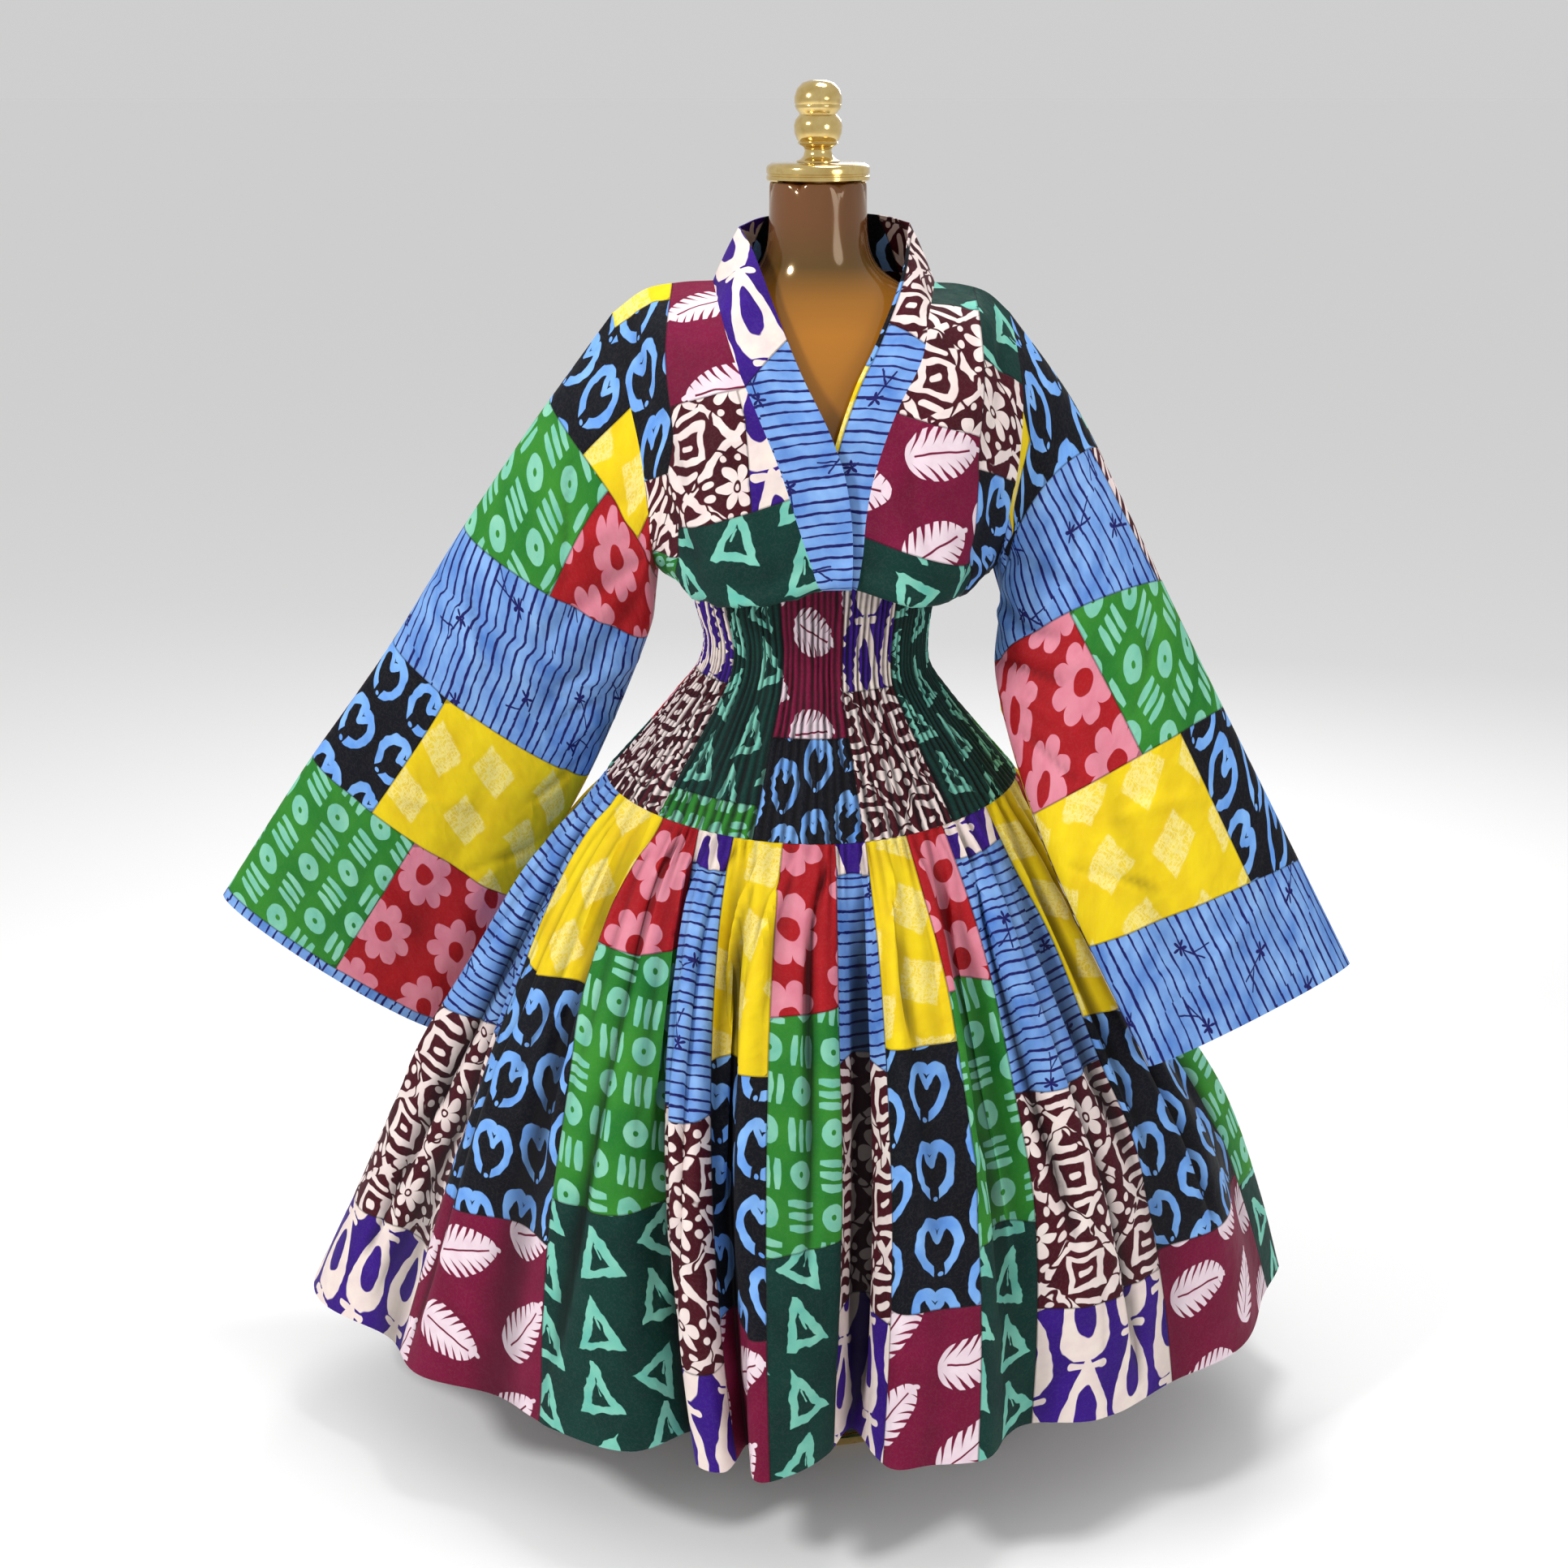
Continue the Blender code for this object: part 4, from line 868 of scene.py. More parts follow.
patches = [
    (0, r[0.06], 0, first, YELLOW, 0), (r[0.06], r[0.46], 0, first, BLACK, 0),
    (r[0.46], r[0.82], 0, first, MAROON, 0), (r[0.82], d, 0, first, GREEN, 0),
    (0, r[0.38], first, second, BURGUNDY, 0), (r[0.38], r[0.78], first, second, BLUE, 1),
    (r[0.78], d, first, second, DARK, 0), (0, r[0.46], second, third, MAROON, 0),
    (r[0.46], r[0.82], second, third, PURPLE, 0), (r[0.82], d, second, third, BLACK, 0),
    (0, r[0.25], third, count, DARK, 1), (r[0.25], r[0.70], third, count, RED, 0),
    (r[0.70], d, third, count, BURGUNDY, 0),
]
bodice("plain_back", back, BACK_CREASES, patches, "bodice_back")


# Neckband. The real one is a long doubled strip, stitched to the neck edge, standing at the back and
# crossing at the point of the V. Its edge shows a narrow facing of black and yellow on the right.
RIM_LEFT = [
    (0.00, -0.088, 0.000, 1.452), (0.14, -0.070, -0.054, 1.426), (0.30, -0.047, -0.086, 1.370),
    (0.46, -0.019, -0.113, 1.304), (0.62, 0.015, -0.149, 1.238), (0.78, 0.033, -0.163, 1.178),
    (0.88, 0.038, -0.172, 1.122), (0.94, 0.037, -0.172, 1.076),
]
RIM_RIGHT = [
    (0.00, 0.102, 0.000, 1.456), (0.14, 0.092, -0.062, 1.405), (0.30, 0.064, -0.098, 1.336),
    (0.46, 0.040, -0.119, 1.288), (0.62, 0.018, -0.143, 1.226), (0.78, 0.006, -0.152, 1.165),
    (0.88, 0.006, -0.158, 1.118), (0.94, 0.010, -0.157, 1.080),
]
RIM_BACK = [(-0.060, 0.045, 1.460), (0.0, 0.070, 1.464), (0.068, 0.045, 1.462)]
RIM_END_LEFT, RIM_END_RIGHT = math.radians(14.2), math.radians(6.5)
UNDER_LAP = 0.0027


def neckband(seam, table, back_seam, back_rim, rim_end, drop, v, u):
    """Rows from the centre back over the shoulder down to the waist, columns from the seam to the rim."""
    knots = [row[0] for row in table] + TURNED_UNDER
    ends = [waist_seam(np.array([rim_end]), wider)[0] for wider in (TURN, 0)]
    rim = smooth(knots, [row[1:] for row in table] + ends, v)
    seam = np.concatenate([back_seam, seam[1:]])
    rim = np.concatenate([back_rim, rim[1:]])
    bow = 0.006 * np.sin(math.pi * u)
    grid = seam[:, None] * (1 - u)[None, :, None] + rim[:, None] * u[None, :, None]
    fade = np.concatenate([np.ones(len(back_seam)), 1 - np.linspace(0, 1, len(v))[1:]])
    grid[:, :, 2] += 0.5 * bow * fade[:, None]
    for at, row in zip(v[1:], grid[len(back_seam):]):
        tuck = np.minimum(u * 3, 1)
        if at > 0.55:
            row[:, 1] += drop * min((at - 0.55) / 0.15, 1) * tuck
        if at > 0.9:
            row[:, 2] += drop * min((at - 0.9) / 0.06, 1) * (tuck if at < 0.95 else 1)
    return grid


nape = 7 * PER + 4 * PER
left_neck, right_neck = back[0, 7 * PER:nape + 1][::-1], back[0, nape:15 * PER + 1]
rim = np.array([RIM_LEFT[0][1:], *RIM_BACK, RIM_RIGHT[0][1:]])
rim = smooth(np.linspace(0, 1, len(rim)), rim, np.linspace(0, 1, 8 * PER + 1))
U = stops([0, 0.90, 1.0], 0.07)
band_left = neckband(left[:, 0], RIM_LEFT, left_neck, rim[:4 * PER + 1][::-1], RIM_END_LEFT, 0.0, V, U)
band_right = neckband(right[:, 0], RIM_RIGHT, right_neck, rim[4 * PER:], RIM_END_RIGHT, UNDER_LAP, V, U)
over_shoulder = 4 * PER
edge = spot(U, 0.90)
cut = over_shoulder + spot(V, 0.38)
patches = [(0, over_shoulder // 2, 0, len(U) - 1, BLACK, 1),
           (over_shoulder // 2, cut, 0, len(U) - 1, PURPLE, 0, 0.03, 0.0),
           (cut, len(band_left) - 1, 0, len(U) - 1, BLUE, 0)]
BAND_CREASES = [(0.2, 0.50, 0.8, 0.56, 7, 0.9), (0.1, 0.66, 0.7, 0.72, 8, -0.9),
                (0.3, 0.80, 0.9, 0.84, 7, 0.9), (0.5, 0.30, 0.5, 0.60, 9, 0.8)]
on_dress(sewn("left_neckband", *pressed(band_left, chest, BAND_CREASES), patches), "neckband_left")
cut = over_shoulder + spot(V, 0.25)
black, yellow = over_shoulder + spot(V, 0.06), over_shoulder + spot(V, 0.38)
patches = [(0, over_shoulder // 2, 0, len(U) - 1, BLACK, 1),
           (over_shoulder // 2, cut, 0, edge, MAROON, 0),
           (over_shoulder // 2, black, edge, len(U) - 1, MAROON, 0),
           (cut, len(band_right) - 1, 0, edge, BLUE, 0),
           (black, yellow, edge, len(U) - 1, BLACK, 0, 0.03, 0.04),
           (yellow, len(band_right) - 1, edge, len(U) - 1, YELLOW, 0)]
on_dress(sewn("right_neckband", *pressed(band_right, chest, BAND_CREASES), patches), "neckband_right")


# Sleeves. The real ones are long, straight and wide, pressed flat to a fold along the outer edge,
# set into deep armholes with a small gusset under the arm. A narrow facing shows at the cuff.
SLEEVE_LEFT = [  # place along, outer edge, inner edge, half thickness
    (0.14, -0.300, 0.005, 1.268, -0.192, 0.004, 1.022, 0.058),
    (0.34, -0.412, 0.020, 1.113, -0.207, 0.026, 0.965, 0.058),
    (0.54, -0.516, 0.045, 0.957, -0.278, 0.085, 0.798, 0.050),
    (0.77, -0.634, 0.075, 0.797, -0.374, 0.125, 0.624, 0.042),
    (1.00, -0.756, 0.110, 0.619, -0.495, 0.155, 0.415, 0.034),
]
SLEEVE_RIGHT = [
    (0.14, 0.281, -0.006, 1.272, 0.215, -0.003, 1.022, 0.064),
    (0.34, 0.368, -0.026, 1.112, 0.206, -0.044, 0.950, 0.060),
    (0.54, 0.447, -0.052, 0.955, 0.230, -0.124, 0.852, 0.050),
    (0.77, 0.530, -0.085, 0.795, 0.280, -0.200, 0.728, 0.042),
    (1.00, 0.623, -0.120, 0.618, 0.374, -0.245, 0.542, 0.034),
]
# Seams across each sleeve, as places along its outer and its inner edge.
SEAMS_LEFT = [(0, 0), (0.15, 0.035), (0.341, 0.31), (0.525, 0.553), (0.745, 0.785), (0.985, 0.985), (1, 1)]
SEAMS_RIGHT = [(0, 0), (0.225, 0.10), (0.41, 0.315), (0.60, 0.62), (0.845, 0.84), (0.985, 0.985), (1, 1)]
# The same places on a cloth of even rows.
SLEEVE_ROWS = [0, 0.13, 0.335, 0.54, 0.765, 0.985, 1.0]


def armhole(front_side, back_side, theta):
    """Points round an armhole: 0 at the shoulder, down the front to 180 under the arm, up the back."""
    turn_at = np.interp(V[:low + 1], BODICE_V[:13], np.arange(13) * 15.0)
    at = np.minimum(theta, 360 - theta)
    front, behind = (np.stack([np.interp(at, turn_at, side[:low + 1, k]) for k in range(3)], axis=1)
                     for side in (front_side, back_side))
    return np.where((theta <= 180)[:, None], front, behind)


def sleeve(edge, theta, table, seams, along):
    """Rows from the armhole to the cuff, columns once round from the outer edge by the front."""
    angle = np.radians(theta)
    outer = np.array([row[1:4] for row in table])
    inner = np.array([row[4:7] for row in table])
    middle = (outer + inner) / 2
    run = np.gradient(np.concatenate([[edge[:-1].mean(0)], middle]), axis=0)[1:]
    rows = [edge]
    for o, i, m, way, half in zip(outer, inner, middle, run, [row[7] for row in table]):
        width = (o - i) / 2
        across = np.cross(way, width)
        across *= half / np.linalg.norm(across)
        if across[1] > 0:
            across = -across
        rows.append(m + np.outer(np.cos(angle), width) + np.outer(np.sin(angle), across))
    many = np.linspace(0, 1, 401)
    full = smooth([0] + [row[0] for row in table], rows, many)
    grid = np.empty((len(along), len(theta), 3))
    for j, w in enumerate((1 - np.cos(angle)) / 2):
        s = np.interp(along, SLEEVE_ROWS, [o * (1 - w) + i * w for o, i in seams])
        for k in range(3):
            grid[:, j, k] = np.interp(s, many, full[:, j, k])
    return grid


THETA = stops([0, 18, 66, 90, 125, 180, 236, 270, 294, 342, 360], 3.4)
ALONG = stops(SLEEVE_ROWS, 0.0072)
row = [spot(ALONG, at) for at in SLEEVE_ROWS]
GUSSET = spot(ALONG, 0.06)

def set_in(name, nodes, hole, table, seams, creases, patches):
    """A sleeve sewn into its armhole. Its patches go by the number of a seam along and degrees round."""
    grid = sleeve(hole, THETA, table, seams, ALONG)
    grid, field = pressed(grid, grid.mean((0, 1)), creases, True)
    at = {**dict(enumerate(row)), "gusset": GUSSET}
    patches = [(at[a], at[b], spot(THETA, c), spot(THETA, d), *look) for a, b, c, d, *look in patches]
    # Painted shade in the hollows of the sleeve's creases.
    deep = painted_hollow_shade(grid, field, 0.018, 0.5, 0.004)[:, :-1]
    obj = sewn(name, grid, field, patches, around=True, deep=deep)
    on_dress(obj, nodes)


LEFT_SLEEVE_CREASES = [
    (0.40, 0.02, 0.26, 0.34, 15, -4.5), (0.34, 0.00, 0.20, 0.26, 13, 3.0), (0.46, 0.06, 0.30, 0.44, 17, -5.0),
    (0.42, 0.34, 0.24, 0.42, 12, -3.6), (0.44, 0.26, 0.30, 0.33, 10, 3.2), (0.18, 0.30, 0.16, 0.72, 22, 2.2),
    (0.30, 0.50, 0.34, 0.96, 24, -2.8), (0.10, 0.60, 0.12, 0.98, 20, -1.8), (0.40, 0.62, 0.42, 1.0, 18, 2.6),
    (0.22, 0.74, 0.25, 1.0, 16, 1.8), (0.60, 0.05, 0.72, 0.46, 18, -4.5), (0.70, 0.10, 0.80, 0.50, 16, 3.4),
    (0.58, 0.40, 0.64, 0.90, 22, -3.2), (0.78, 0.48, 0.80, 0.98, 24, -2.6), (0.88, 0.20, 0.90, 0.70, 20, 2.2),
    (0.49, 0.16, 0.34, 0.37, 6, 2.8), (0.49, 0.22, 0.35, 0.43, 5, -3.2), (0.49, 0.29, 0.37, 0.46, 5, 2.6),
    (0.49, 0.35, 0.38, 0.55, 6, -2.6), (0.08, 0.36, 0.22, 0.43, 8, -2.2), (0.30, 0.60, 0.14, 0.70, 8, 1.9),
    (0.47, 0.56, 0.36, 0.72, 7, -2.2), (0.20, 0.80, 0.36, 0.88, 9, 1.8), (0.14, 0.10, 0.28, 0.24, 8, -2.0),
    (0.52, 0.20, 0.66, 0.42, 6, -2.8), (0.52, 0.30, 0.63, 0.48, 6, 2.6), (0.90, 0.36, 0.76, 0.46, 8, -2.0),
]
RIGHT_SLEEVE_CREASES = [
    (0.42, 0.03, 0.22, 0.26, 14, -5.0), (0.38, 0.00, 0.18, 0.17, 12, 3.6), (0.46, 0.12, 0.28, 0.30, 12, -4.4),
    (0.44, 0.20, 0.26, 0.38, 10, 3.4), (0.20, 0.24, 0.18, 0.66, 20, 2.4), (0.33, 0.40, 0.35, 0.90, 22, -3.0),
    (0.12, 0.50, 0.14, 0.96, 20, -2.0), (0.42, 0.55, 0.43, 1.0, 18, 2.8), (0.26, 0.72, 0.28, 1.0, 15, 1.8),
    (0.62, 0.06, 0.74, 0.44, 18, -4.6), (0.72, 0.12, 0.82, 0.52, 15, 3.0), (0.60, 0.44, 0.66, 0.94, 22, -3.0),
    (0.80, 0.40, 0.82, 0.96, 24, -2.4), (0.90, 0.22, 0.90, 0.64, 18, 2.0),
    (0.49, 0.10, 0.32, 0.30, 6, 2.8), (0.49, 0.18, 0.33, 0.36, 5, -3.2), (0.49, 0.25, 0.36, 0.42, 5, 2.8),
    (0.49, 0.33, 0.36, 0.52, 6, -2.6), (0.09, 0.40, 0.24, 0.47, 8, -2.2), (0.34, 0.58, 0.17, 0.66, 8, 2.0),
    (0.47, 0.60, 0.33, 0.74, 7, -2.3), (0.16, 0.84, 0.33, 0.90, 9, 1.8), (0.12, 0.14, 0.24, 0.28, 8, -2.0),
    (0.52, 0.16, 0.66, 0.36, 6, -2.8), (0.52, 0.27, 0.64, 0.45, 6, 2.4), (0.88, 0.40, 0.74, 0.50, 8, -2.0),
]
patches = [
    (0, 1, 0, 66, BLACK, 0), (0, 1, 66, 125, YELLOW, 0),
    (0, 1, 125, 236, RED, 0), (0, 1, 236, 360, BLACK, 0),
    (1, 2, 0, 90, GREEN, 1), (1, 2, 90, 180, RED, 0),
    (1, 2, 180, 270, PURPLE, 0), (1, 2, 270, 360, DARK, 0),
    (2, 3, 0, 342, BLUE, 1), (2, 3, 342, 360, MAROON, 0),
    (3, 4, 0, 66, BLACK, 0), (3, 4, 66, 180, YELLOW, 0),
    (3, 4, 180, 294, MAROON, 0), (3, 4, 294, 360, BURGUNDY, 0),
    (4, 5, 0, 90, GREEN, 1), (4, 5, 90, 180, RED, 0),
    (4, 5, 180, 270, BLACK, 0), (4, 5, 270, 360, DARK, 0),
    (5, 6, 0, 360, BLUE, 1),
]
set_in("left_sleeve", "sleeve_left_front sleeve_left_back", armhole(left[:, -1], back[:, 0], THETA),
       SLEEVE_LEFT, SEAMS_LEFT, LEFT_SLEEVE_CREASES, patches)

patches = [
    (0, 1, 0, 66, BLACK, 0), (0, "gusset", 66, 125, YELLOW, 0),
    ("gusset", 1, 66, 125, BLACK, 0), (0, 1, 125, 236, BLUE, 1),
    (0, 1, 236, 360, DARK, 0),
    (1, 2, 0, 18, MAROON, 0), (1, 2, 18, 180, BLUE, 1),
    (1, 2, 180, 360, BURGUNDY, 0),
    (2, 3, 0, 90, GREEN, 0), (2, 3, 90, 180, RED, 0),
    (2, 3, 180, 360, YELLOW, 0),
    (3, 4, 0, 66, BLACK, 3), (3, 4, 66, 180, YELLOW, 0),
    (3, 4, 180, 360, MAROON, 0),
    (4, 6, 0, 180, BLUE, 1), (4, 6, 180, 360, PURPLE, 0),
]
set_in("right_sleeve", "sleeve_right_front sleeve_right_back", armhole(right[:, -1], back[:, -1], THETA),
       SLEEVE_RIGHT, SEAMS_RIGHT, RIGHT_SLEEVE_CREASES, patches)


# Shirred waist. The real panels are cut nearly twice as wide as the body and drawn in by rows of
# elastic thread, so they stand in narrow upright gathers from the waist seam to the hip.
SHIRRED = [  # z at the sides, half width left and right, depth front and back
    (1.0656, 0.145, 0.141, 0.112, 0.098), (1.030, 0.143, 0.134, 0.108, 0.094),
    (0.986, 0.133, 0.128, 0.103, 0.090), (0.950, 0.141, 0.131, 0.108, 0.096),
    (0.915, 0.168, 0.154, 0.126, 0.114), (0.875, 0.201, 0.187, 0.152, 0.140),
    (0.845, 0.228, 0.213, 0.176, 0.164), (0.818, 0.252, 0.236, 0.200, 0.186),
]
HIP_DIP = 0.026
GATHERS = 61
WAIST_MIDDLE_Z = 0.93
GATHERED_CLOTH = 0.0008
FULLNESS = 1.6
ELASTIC = 0.0125  # between rows of elastic thread


def shirred(angles, down):
    """Rows from the waist seam to the hip, on the plain surface."""
    places = np.linspace(0, 1, len(SHIRRED))
    rows = []
    for at, (z, left, right, front, behind) in zip(down, smooth(places, SHIRRED, down)):
        x, y = ring(left, right, front, behind, angles)
        rows.append(np.stack([x, y, z - HIP_DIP * at**2 * np.maximum(np.cos(angles), 0) ** 2], axis=1))
    return np.array(rows)


def gathered(grid, field, seed):
    """Raises the upright gathers, each of its own width, pinched at every row of elastic.

    It also gives the painted shade of the cloth between them."""
    count = grid.shape[1]
    f = np.linspace(0, 1, count)[None, :]
    step = np.linalg.norm(np.diff(grid[:, count // 2], axis=0), axis=1)
    far = np.cumsum(np.concatenate([[0], step]))[:, None]
    drift = 0.30 * np.sin(far * 61 + 17 * f + seed) + 0.22 * np.sin(far * 140 + 47 * f)
    own = 0.55 * np.sin(f * 71 + seed) + 0.45 * np.sin(f * 173 + 2 * seed)
    wave = np.cos(math.tau * GATHERS * f + drift + own)
    tall = 0.72 + 0.28 * np.sin(f * 97 + seed) * np.cos(far * 33 + f * 40)
    pinch = 0.66 + 0.34 * np.abs(np.sin(math.pi * far / ELASTIC))
    ends = np.minimum(np.minimum(far, far[-1] - far) / 0.006 + 0.25, 1)
    wave = np.sign(wave) * np.abs(wave) ** 0.8
    rise = 0.0010 + 0.0017 * wave * tall * pinch * ends
    sides = np.minimum(np.minimum(f, 1 - f) / 0.01, 1)
    # Painted shade between the gathers, darkest in the hollows between ridges and at each row of elastic.
    deep = np.clip(0.62 - 0.85 * wave * tall - 0.3 * pinch, 0, 1) * 0.9
    return grid + field * (rise * sides)[:, :, None], deep


def shirred_panel(name, node, seed, patches):
    """Gathers a panel on its elastic and sews it to the dress."""
    centre = (0, 0, WAIST_MIDDLE_Z)
    grid = shirred(ROUND, DOWN)
    grid, deep = gathered(grid, normals(grid, centre), seed)
    obj = sewn(name, grid, normals(grid, centre), patches, gathered=FULLNESS, thick=GATHERED_CLOTH,
               deep=deep)
    on_dress(obj, node)


WAIST_SEAMS = [-90, -46, -17, 12.5, 40, 90]
ROUND = np.radians(stops(WAIST_SEAMS, 180 / (GATHERS * 6)))
DOWN = stops([0, 0.44, 0.61, 0.86, 1.0], 0.0092)
s = [spot(np.degrees(ROUND), at) for at in WAIST_SEAMS]
d = {at: spot(DOWN, at) for at in (0.44, 0.61, 0.86)}
end = len(DOWN) - 1
patches = [
    (0, d[0.44], s[0], s[1], PURPLE, 0), (d[0.44], end, s[0], s[1], MAROON, 0),
    (0, d[0.86], s[1], s[2], DARK, 0), (d[0.86], end, s[1], s[2], GREEN, 0),
    (0, d[0.61], s[2], s[3], BURGUNDY, 0, 0.049, -0.006), (d[0.61], end, s[2], s[3], BLACK, 0),
    (0, d[0.44], s[3], s[4], PURPLE, 0), (d[0.44], end, s[3], s[4], MAROON, 0),
    (0, end, s[4], s[5], DARK, 0),
]
shirred_panel("front_waist", "shirred_waist_front", 1.0, patches)

ROUND = np.radians(90 + stops([0, 48, 90, 132, 180], 180 / (GATHERS * 5)))
DOWN = stops([0, 0.40, 0.70, 1.0], 0.012)
s = [spot(np.degrees(ROUND) - 90, at) for at in (0, 48, 90, 132, 180)]
d = {at: spot(DOWN, at) for at in (0.40, 0.70)}
end = len(DOWN) - 1
patches = [
    (0, d[0.70], s[0], s[1], DARK, 0), (d[0.70], end, s[0], s[1], GREEN, 0),
    (0, d[0.40], s[1], s[2], BURGUNDY, 0), (d[0.40], end, s[1], s[2], BLACK, 0),
    (0, d[0.40], s[2], s[3], PURPLE, 0), (d[0.40], end, s[2], s[3], MAROON, 0),
    (0, d[0.70], s[3], s[4], RED, 0), (d[0.70], end, s[3], s[4], DARK, 0),
]
shirred_panel("back_waist", "shirred_waist_back", 4.0, patches)


# Skirt. The real one is a front and a back of three tiers of patches, sewn in upright columns and
# gathered on to the hip seam. It stands out in deep soft folds, more of them in the middle front.
SKIRT = [  # place down, half width left and right, depth front and back, z side, front, back, power
    (0.00, 0.252, 0.236, 0.200, 0.186, 0.818, 0.792, 0.818, 2.00),
    (0.10, 0.304, 0.282, 0.240, 0.226, 0.752, 0.735, 0.754, 2.00),
    (0.25, 0.366, 0.345, 0.290, 0.274, 0.660, 0.650, 0.662, 1.95),
    (0.45, 0.443, 0.425, 0.346, 0.326, 0.530, 0.526, 0.532, 1.90),
    (0.65, 0.517, 0.508, 0.390, 0.370, 0.400, 0.398, 0.400, 1.80),
    (0.85, 0.588, 0.563, 0.424, 0.406, 0.255, 0.254, 0.256, 1.74),
    (1.00, 0.641, 0.593, 0.442, 0.430, 0.150, 0.150, 0.152, 1.70),
]
FOLD_AT = [0.0, 0.12, 0.5, 1.0]
HIP_CAP = 0.055  # place down of the seam under the purple caps
COLUMN_STEP = 0.0385  # between points, as a part of one column of patches
# Patch column, angle from the middle at the hip and at the hem, then mm out near hip, half way, at hem.
FRONT_FOLDS = [
    (0.00, -90.0, -90.0, 0, 0, 0), (0.45, -80.0, -74.0, 8, 12, 4), (0.80, -71.0, -60.0, -12, -26, -30),
    (1.30, -60.0, -47.0, 8, 10, -4), (1.62, -52.0, -38.0, -9, -16, -24), (2.10, -43.0, -28.0, 9, 14, 2),
    (2.60, -36.0, -18.5, 4, 8, 8), (3.02, -32.0, -13.5, -20, -42, -48), (3.45, -27.5, -11.8, 9, 20, 14),
    (3.80, -24.0, -9.0, 8, 16, 20), (4.25, -19.5, -7.4, -18, -40, -36), (4.75, -13.0, -6.0, 9, 20, 30),
    (5.30, -4.0, -2.4, 6, 8, 14), (5.85, 3.0, 1.0, -4, -10, -24), (6.50, 9.0, 4.2, -22, -54, -72),
    (7.10, 14.0, 7.6, 9, 18, 10), (7.60, 20.0, 12.0, 8, 16, 14), (8.10, 26.0, 18.0, 6, 12, 20),
    (8.55, 31.0, 21.5, -16, -32, -14), (9.00, 36.5, 25.0, 4, -4, -24), (9.50, 45.0, 33.0, 10, 18, 6),
    (10.0, 55.0, 45.0, -8, -12, -6), (10.5, 66.0, 59.0, 8, 14, 6), (10.9, 78.0, 75.0, -10, -20, -16),
    (11.3, 90.0, 90.0, 0, 0, 0),
]
BACK_FOLDS = [
    (0.00, -90.0, -90.0, 0, 0, 0), (0.50, -79.0, -76.0, -9, -20, -22), (1.10, -67.0, -62.0, 8, 14, 8),
    (1.60, -56.0, -50.0, -10, -24, -26), (2.30, -45.0, -37.0, 9, 16, 12), (2.90, -34.0, -27.0, -14, -34, -38),
    (3.50, -25.0, -18.0, 9, 18, 14), (4.20, -14.0, -10.0, -13, -30, -28), (4.90, -4.0, -2.0, 8, 16, 16),
    (5.60, 6.0, 5.0, -12, -32, -44), (6.20, 15.0, 12.0, 9, 18, 12), (6.90, 26.0, 22.0, 4, 10, 10),
    (7.50, 36.0, 31.0, -14, -34, -34), (8.10, 46.0, 40.0, 9, 16, 14), (8.80, 57.0, 52.0, -10, -24, -24),
    (9.50, 68.0, 64.0, 8, 14, 8), (10.1, 80.0, 78.0, -9, -18, -18), (10.6, 90.0, 90.0, 0, 0, 0),
]
# Where each column of patches changes from the top tier to the middle one and to the bottom one.
FRONT_TIERS = [(0.44, 0.82), (0.30, 0.713), (0.212, 0.635), (0.46, 0.845), (0.375, 0.78), (0.282, 0.662),
               (0.375, 0.776), (0.337, 0.752), (0.26, 0.667), (0.448, 0.805), (0.375, 0.775), (0.41, 0.80)]
BACK_TIERS = [(0.40, 0.80), (0.33, 0.74), (0.25, 0.66), (0.44, 0.82), (0.36, 0.76), (0.28, 0.68),
              (0.42, 0.81), (0.34, 0.75), (0.26, 0.67), (0.41, 0.80), (0.31, 0.72)]
PLACED = [(BLUE, MAROON, PURPLE), (YELLOW, BLACK, BURGUNDY),
          (RED, GREEN, DARK)]


def skirt(folds, is_back, c, t):
    """Rows from the hip to the hem, columns from the left side to the right one."""
    table = np.array(folds, float)
    values = smooth(table[:, 0], table[:, 1:], c)
    shape = smooth([row[0] for row in SKIRT], [row[1:] for row in SKIRT], t)
    grid = np.empty((len(t), len(c), 3))
    for i, (left, right, front, behind, z_side, z_front, z_back, power) in enumerate(shape):
        angle = np.radians(values[:, 0] + (values[:, 1] - values[:, 0]) * t[i])
        mid = z_back if is_back else z_front
        if is_back:
            angle = math.pi - angle
        x, y = ring(left, right, front, behind, angle, power)
        depth = behind if is_back else front
        out = np.stack([x / (left + right) ** 2 * 4, y / depth**2], axis=1)
        out /= np.linalg.norm(out, axis=1)[:, None]
        amount = smooth(FOLD_AT, np.stack([0 * values[:, 2], *values[:, 2:].T]), [t[i]])[0] / 1000
        grid[i, :, 0], grid[i, :, 1] = x + out[:, 0] * amount, y + out[:, 1] * amount
        grid[i, :, 2] = z_side + (mid - z_side) * np.cos(angle) ** 2
    return grid


def drawn_in(grid, field, seed):
    """Small gathers held in the hip seam. Each runs out at its own place down the skirt."""
    down = np.linalg.norm(np.diff(grid, axis=0), axis=2).mean(1)
    down = np.concatenate([[0], np.cumsum(down)])[:, None]
    f = np.linspace(0, 1, grid.shape[1])[None, :]
    phase = math.tau * 46 * f + 1.7 * np.sin(19 * f + seed) + 1.1 * np.sin(43 * f + 2 * seed)
    reach = 0.060 + 0.034 * np.sin(61 * f + seed) + 0.022 * np.sin(131 * f + 3 * seed)
    tall = 0.0022 + 0.0009 * np.sin(83 * f + seed)
    fade = np.exp(-(down / reach) ** 2) * np.minimum(down / 0.004 + 0.35, 1)
    sides = np.minimum(np.minimum(f, 1 - f) / 0.01, 1)
    return grid + field * (tall * np.sin(phase + down * 20 * np.sin(29 * f)) * fade * sides)[:, :, None]


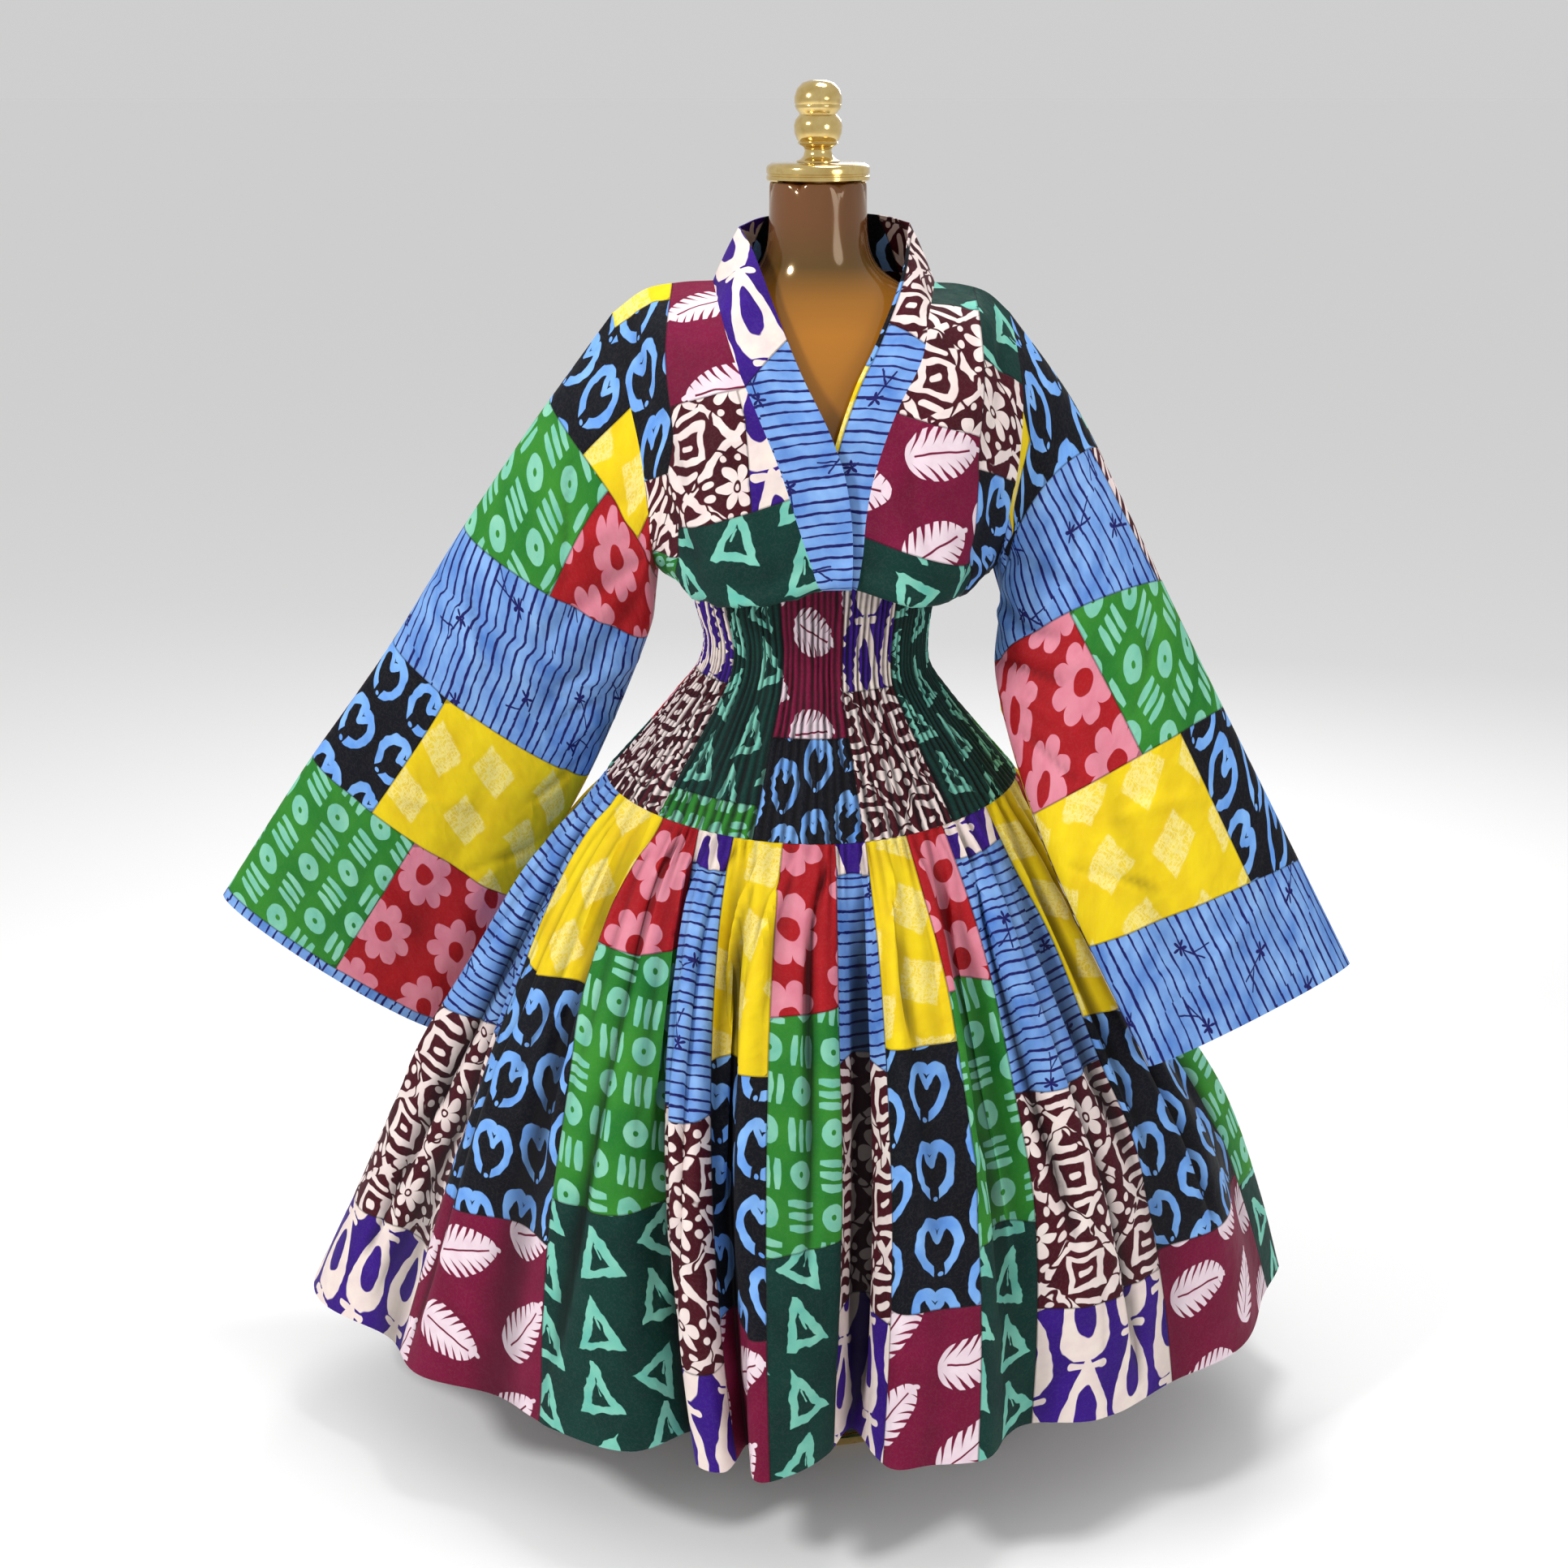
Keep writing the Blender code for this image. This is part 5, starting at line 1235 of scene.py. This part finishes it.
def pleats(folds, grid, low, edges):
    """Presses each fold of the table to an edge, and each hollow between two folds to a narrow trough."""
    last = folds[-1][0]
    creases = []
    for k, (at, _, _, near, half, _) in enumerate(folds[1:-1]):
        end = edges[k % len(edges)]
        if half > 0:
            creases.append((at / last, 0.02, at / last, end, 8 + k % 3, 5.6 + 0.7 * (k % 4)))
        else:
            creases.append((at / last, 0.01, at / last, end + 0.16, 9 + k % 4, -8.6 - 1.1 * (k % 3)))
    return creased(grid, normals(grid, low), creases)


def painted_fold_shade(grid, field):
    """Painted shade, dark in the deep folds and, less, in the narrow ones."""
    return np.maximum(painted_hollow_shade(grid, field, 0.034, 0.86, 0.008), painted_hollow_shade(grid, field, 0.013, 0.62, 0.0028))


def tiers(count, changes, c, t):
    """Patches of each column, tier by tier, with a purple cap on some at the hip."""
    patches = []
    last = len(t) - 1
    for k in range(count):
        a, b = spot(c, k), spot(c, min(k + 1, c[-1]))
        top, low = (spot(t, at) for at in changes[k])
        draws = PLACED[k % 3]
        cap = spot(t, HIP_CAP) if k % 3 == 0 and k else 0
        if cap:
            patches.append((0, cap, a, b, PURPLE, 0))
        rows = (cap, top, low, last)
        patches += [(*rows[n:n + 2], a, b, draws[n], 0) for n in range(3)]
    return patches


def skirt_panel(name, node, folds, changes, is_back, step, seed, edges, creases):
    """Folds, gathers and pleats a panel, sews its columns of patches and hangs it from the waist."""
    middle, count = (0, 0, 0.6), len(changes)
    c = stops([*range(math.ceil(folds[-1][0])), folds[-1][0]], COLUMN_STEP)
    t = stops(sorted({0, HIP_CAP, 1.0, *[at for pair in changes for at in pair]}), step)
    grid = skirt(folds, is_back, c, t)
    grid = drawn_in(grid, normals(grid, middle), seed)
    grid, field = pressed(pleats(folds, grid, middle, edges), middle, creases)
    # The folds of the skirt get painted shade.
    obj = sewn(name, grid, field, tiers(count, changes, c, t), deep=painted_fold_shade(grid, field))
    on_dress(obj, node)


FRONT_CREASES = [
    (0.07, 0.10, 0.03, 0.70, 14, 3.5), (0.10, 0.30, 0.09, 0.98, 12, -3.5), (0.16, 0.06, 0.14, 0.48, 9, -4.0),
    (0.19, 0.20, 0.17, 0.66, 11, 3.0), (0.23, 0.05, 0.23, 0.40, 8, 3.2), (0.30, 0.08, 0.30, 0.52, 8, -3.0),
    (0.36, 0.22, 0.36, 0.90, 9, 2.6), (0.42, 0.10, 0.42, 0.44, 7, -3.2), (0.46, 0.05, 0.46, 0.30, 8, 3.0),
    (0.50, 0.12, 0.50, 0.60, 9, -2.4), (0.53, 0.30, 0.53, 0.98, 10, 2.2), (0.62, 0.06, 0.64, 0.34, 7, -4.0),
    (0.66, 0.10, 0.67, 0.42, 8, 3.4), (0.70, 0.24, 0.70, 0.80, 10, -2.6), (0.76, 0.06, 0.77, 0.44, 8, 3.6),
    (0.81, 0.12, 0.83, 0.60, 11, -3.6), (0.86, 0.10, 0.88, 0.80, 13, 3.4), (0.91, 0.08, 0.94, 0.66, 11, -3.6),
    (0.25, 0.62, 0.26, 1.02, 12, -2.6), (0.47, 0.66, 0.46, 1.02, 12, -2.4), (0.60, 0.60, 0.60, 1.02, 11, 2.2),
    (0.78, 0.64, 0.77, 1.02, 14, -2.8), (0.05, 0.55, 0.13, 0.62, 16, -1.6), (0.66, 0.52, 0.74, 0.56, 15, 1.6),
]
skirt_panel("front_skirt", "skirt_front", FRONT_FOLDS, FRONT_TIERS, False, 0.0075, 1.3,
            (0.62, 0.74, 0.55, 0.82, 0.68), FRONT_CREASES)

BACK_CREASES = [
    (0.06, 0.10, 0.05, 0.80, 13, 3.4), (0.14, 0.06, 0.15, 0.50, 9, -3.6), (0.20, 0.20, 0.20, 0.90, 12, 3.0),
    (0.28, 0.05, 0.29, 0.42, 8, 3.6), (0.37, 0.10, 0.37, 0.70, 10, -3.2), (0.44, 0.06, 0.44, 0.38, 8, 3.2),
    (0.51, 0.14, 0.51, 0.80, 11, -2.8), (0.57, 0.05, 0.56, 0.36, 8, -3.4), (0.64, 0.20, 0.64, 0.96, 12, 3.0),
    (0.70, 0.06, 0.70, 0.44, 8, -3.6), (0.79, 0.12, 0.78, 0.74, 12, 3.2), (0.88, 0.06, 0.89, 0.52, 9, -3.4),
    (0.94, 0.20, 0.95, 0.90, 12, 2.8),
]
skirt_panel("back_skirt", "skirt_back", BACK_FOLDS, BACK_TIERS, True, 0.0085, 2.6,
            (0.70, 0.58, 0.80, 0.64), BACK_CREASES)


# Room. A plain pale floor, a soft light from each side and one from above, as in a small studio.
# The camera stands a little above the neck and looks down, which hides the stand.
bpy.ops.object.select_all(action="DESELECT")
bpy.ops.mesh.primitive_plane_add(size=1, location=(0, 0, 0))
floor = bpy.context.active_object
floor.name = "floor"
floor.scale = (300, 300, 1)
bpy.ops.object.transform_apply(location=True, rotation=True, scale=True)
pale, tree, shader = finish("pale_floor", 0.9)
shader.inputs["Base Color"].default_value = (0.995, 0.995, 0.995, 1)
shader.inputs["Specular IOR Level"].default_value = 0.1
floor.data.materials.append(pale)

world = bpy.data.worlds.new("room")
world.use_nodes = True
world.node_tree.nodes["Background"].inputs[0].default_value = (1.0, 1.0, 1.0, 1)
world.node_tree.nodes["Background"].inputs[1].default_value = 0.62
bpy.context.scene.world = world
for name, place, size, power in (("key", (-2.2, -1.8, 2.9), 0.6, 58), ("fill", (2.2, -2.4, 1.9), 1.2, 14),
                                 ("top", (0.3, 0.2, 3.2), 0.8, 26), ("behind", (0.6, 2.6, 2.4), 1.4, 26)):
    lamp = bpy.data.lights.new(name, "AREA")
    lamp.shape, lamp.size, lamp.energy = "DISK", size, power
    stand = bpy.data.objects.new(name, lamp)
    bpy.context.scene.collection.objects.link(stand)
    stand.location = place
    stand.rotation_euler = (Vector((0, 0, 0.95)) - stand.location).to_track_quat("-Z", "Y").to_euler()

eye = bpy.data.cameras.new("eye")
eye.lens = 52.08
eye.shift_x = -42 / 1932
camera = bpy.data.objects.new("camera", eye)
camera.location = (0, -2.6, 1.615)
camera.rotation_euler = (math.radians(72.6), 0, 0)
bpy.context.scene.collection.objects.link(camera)
bpy.context.scene.camera = camera
bpy.context.scene.view_settings.view_transform = "Standard"
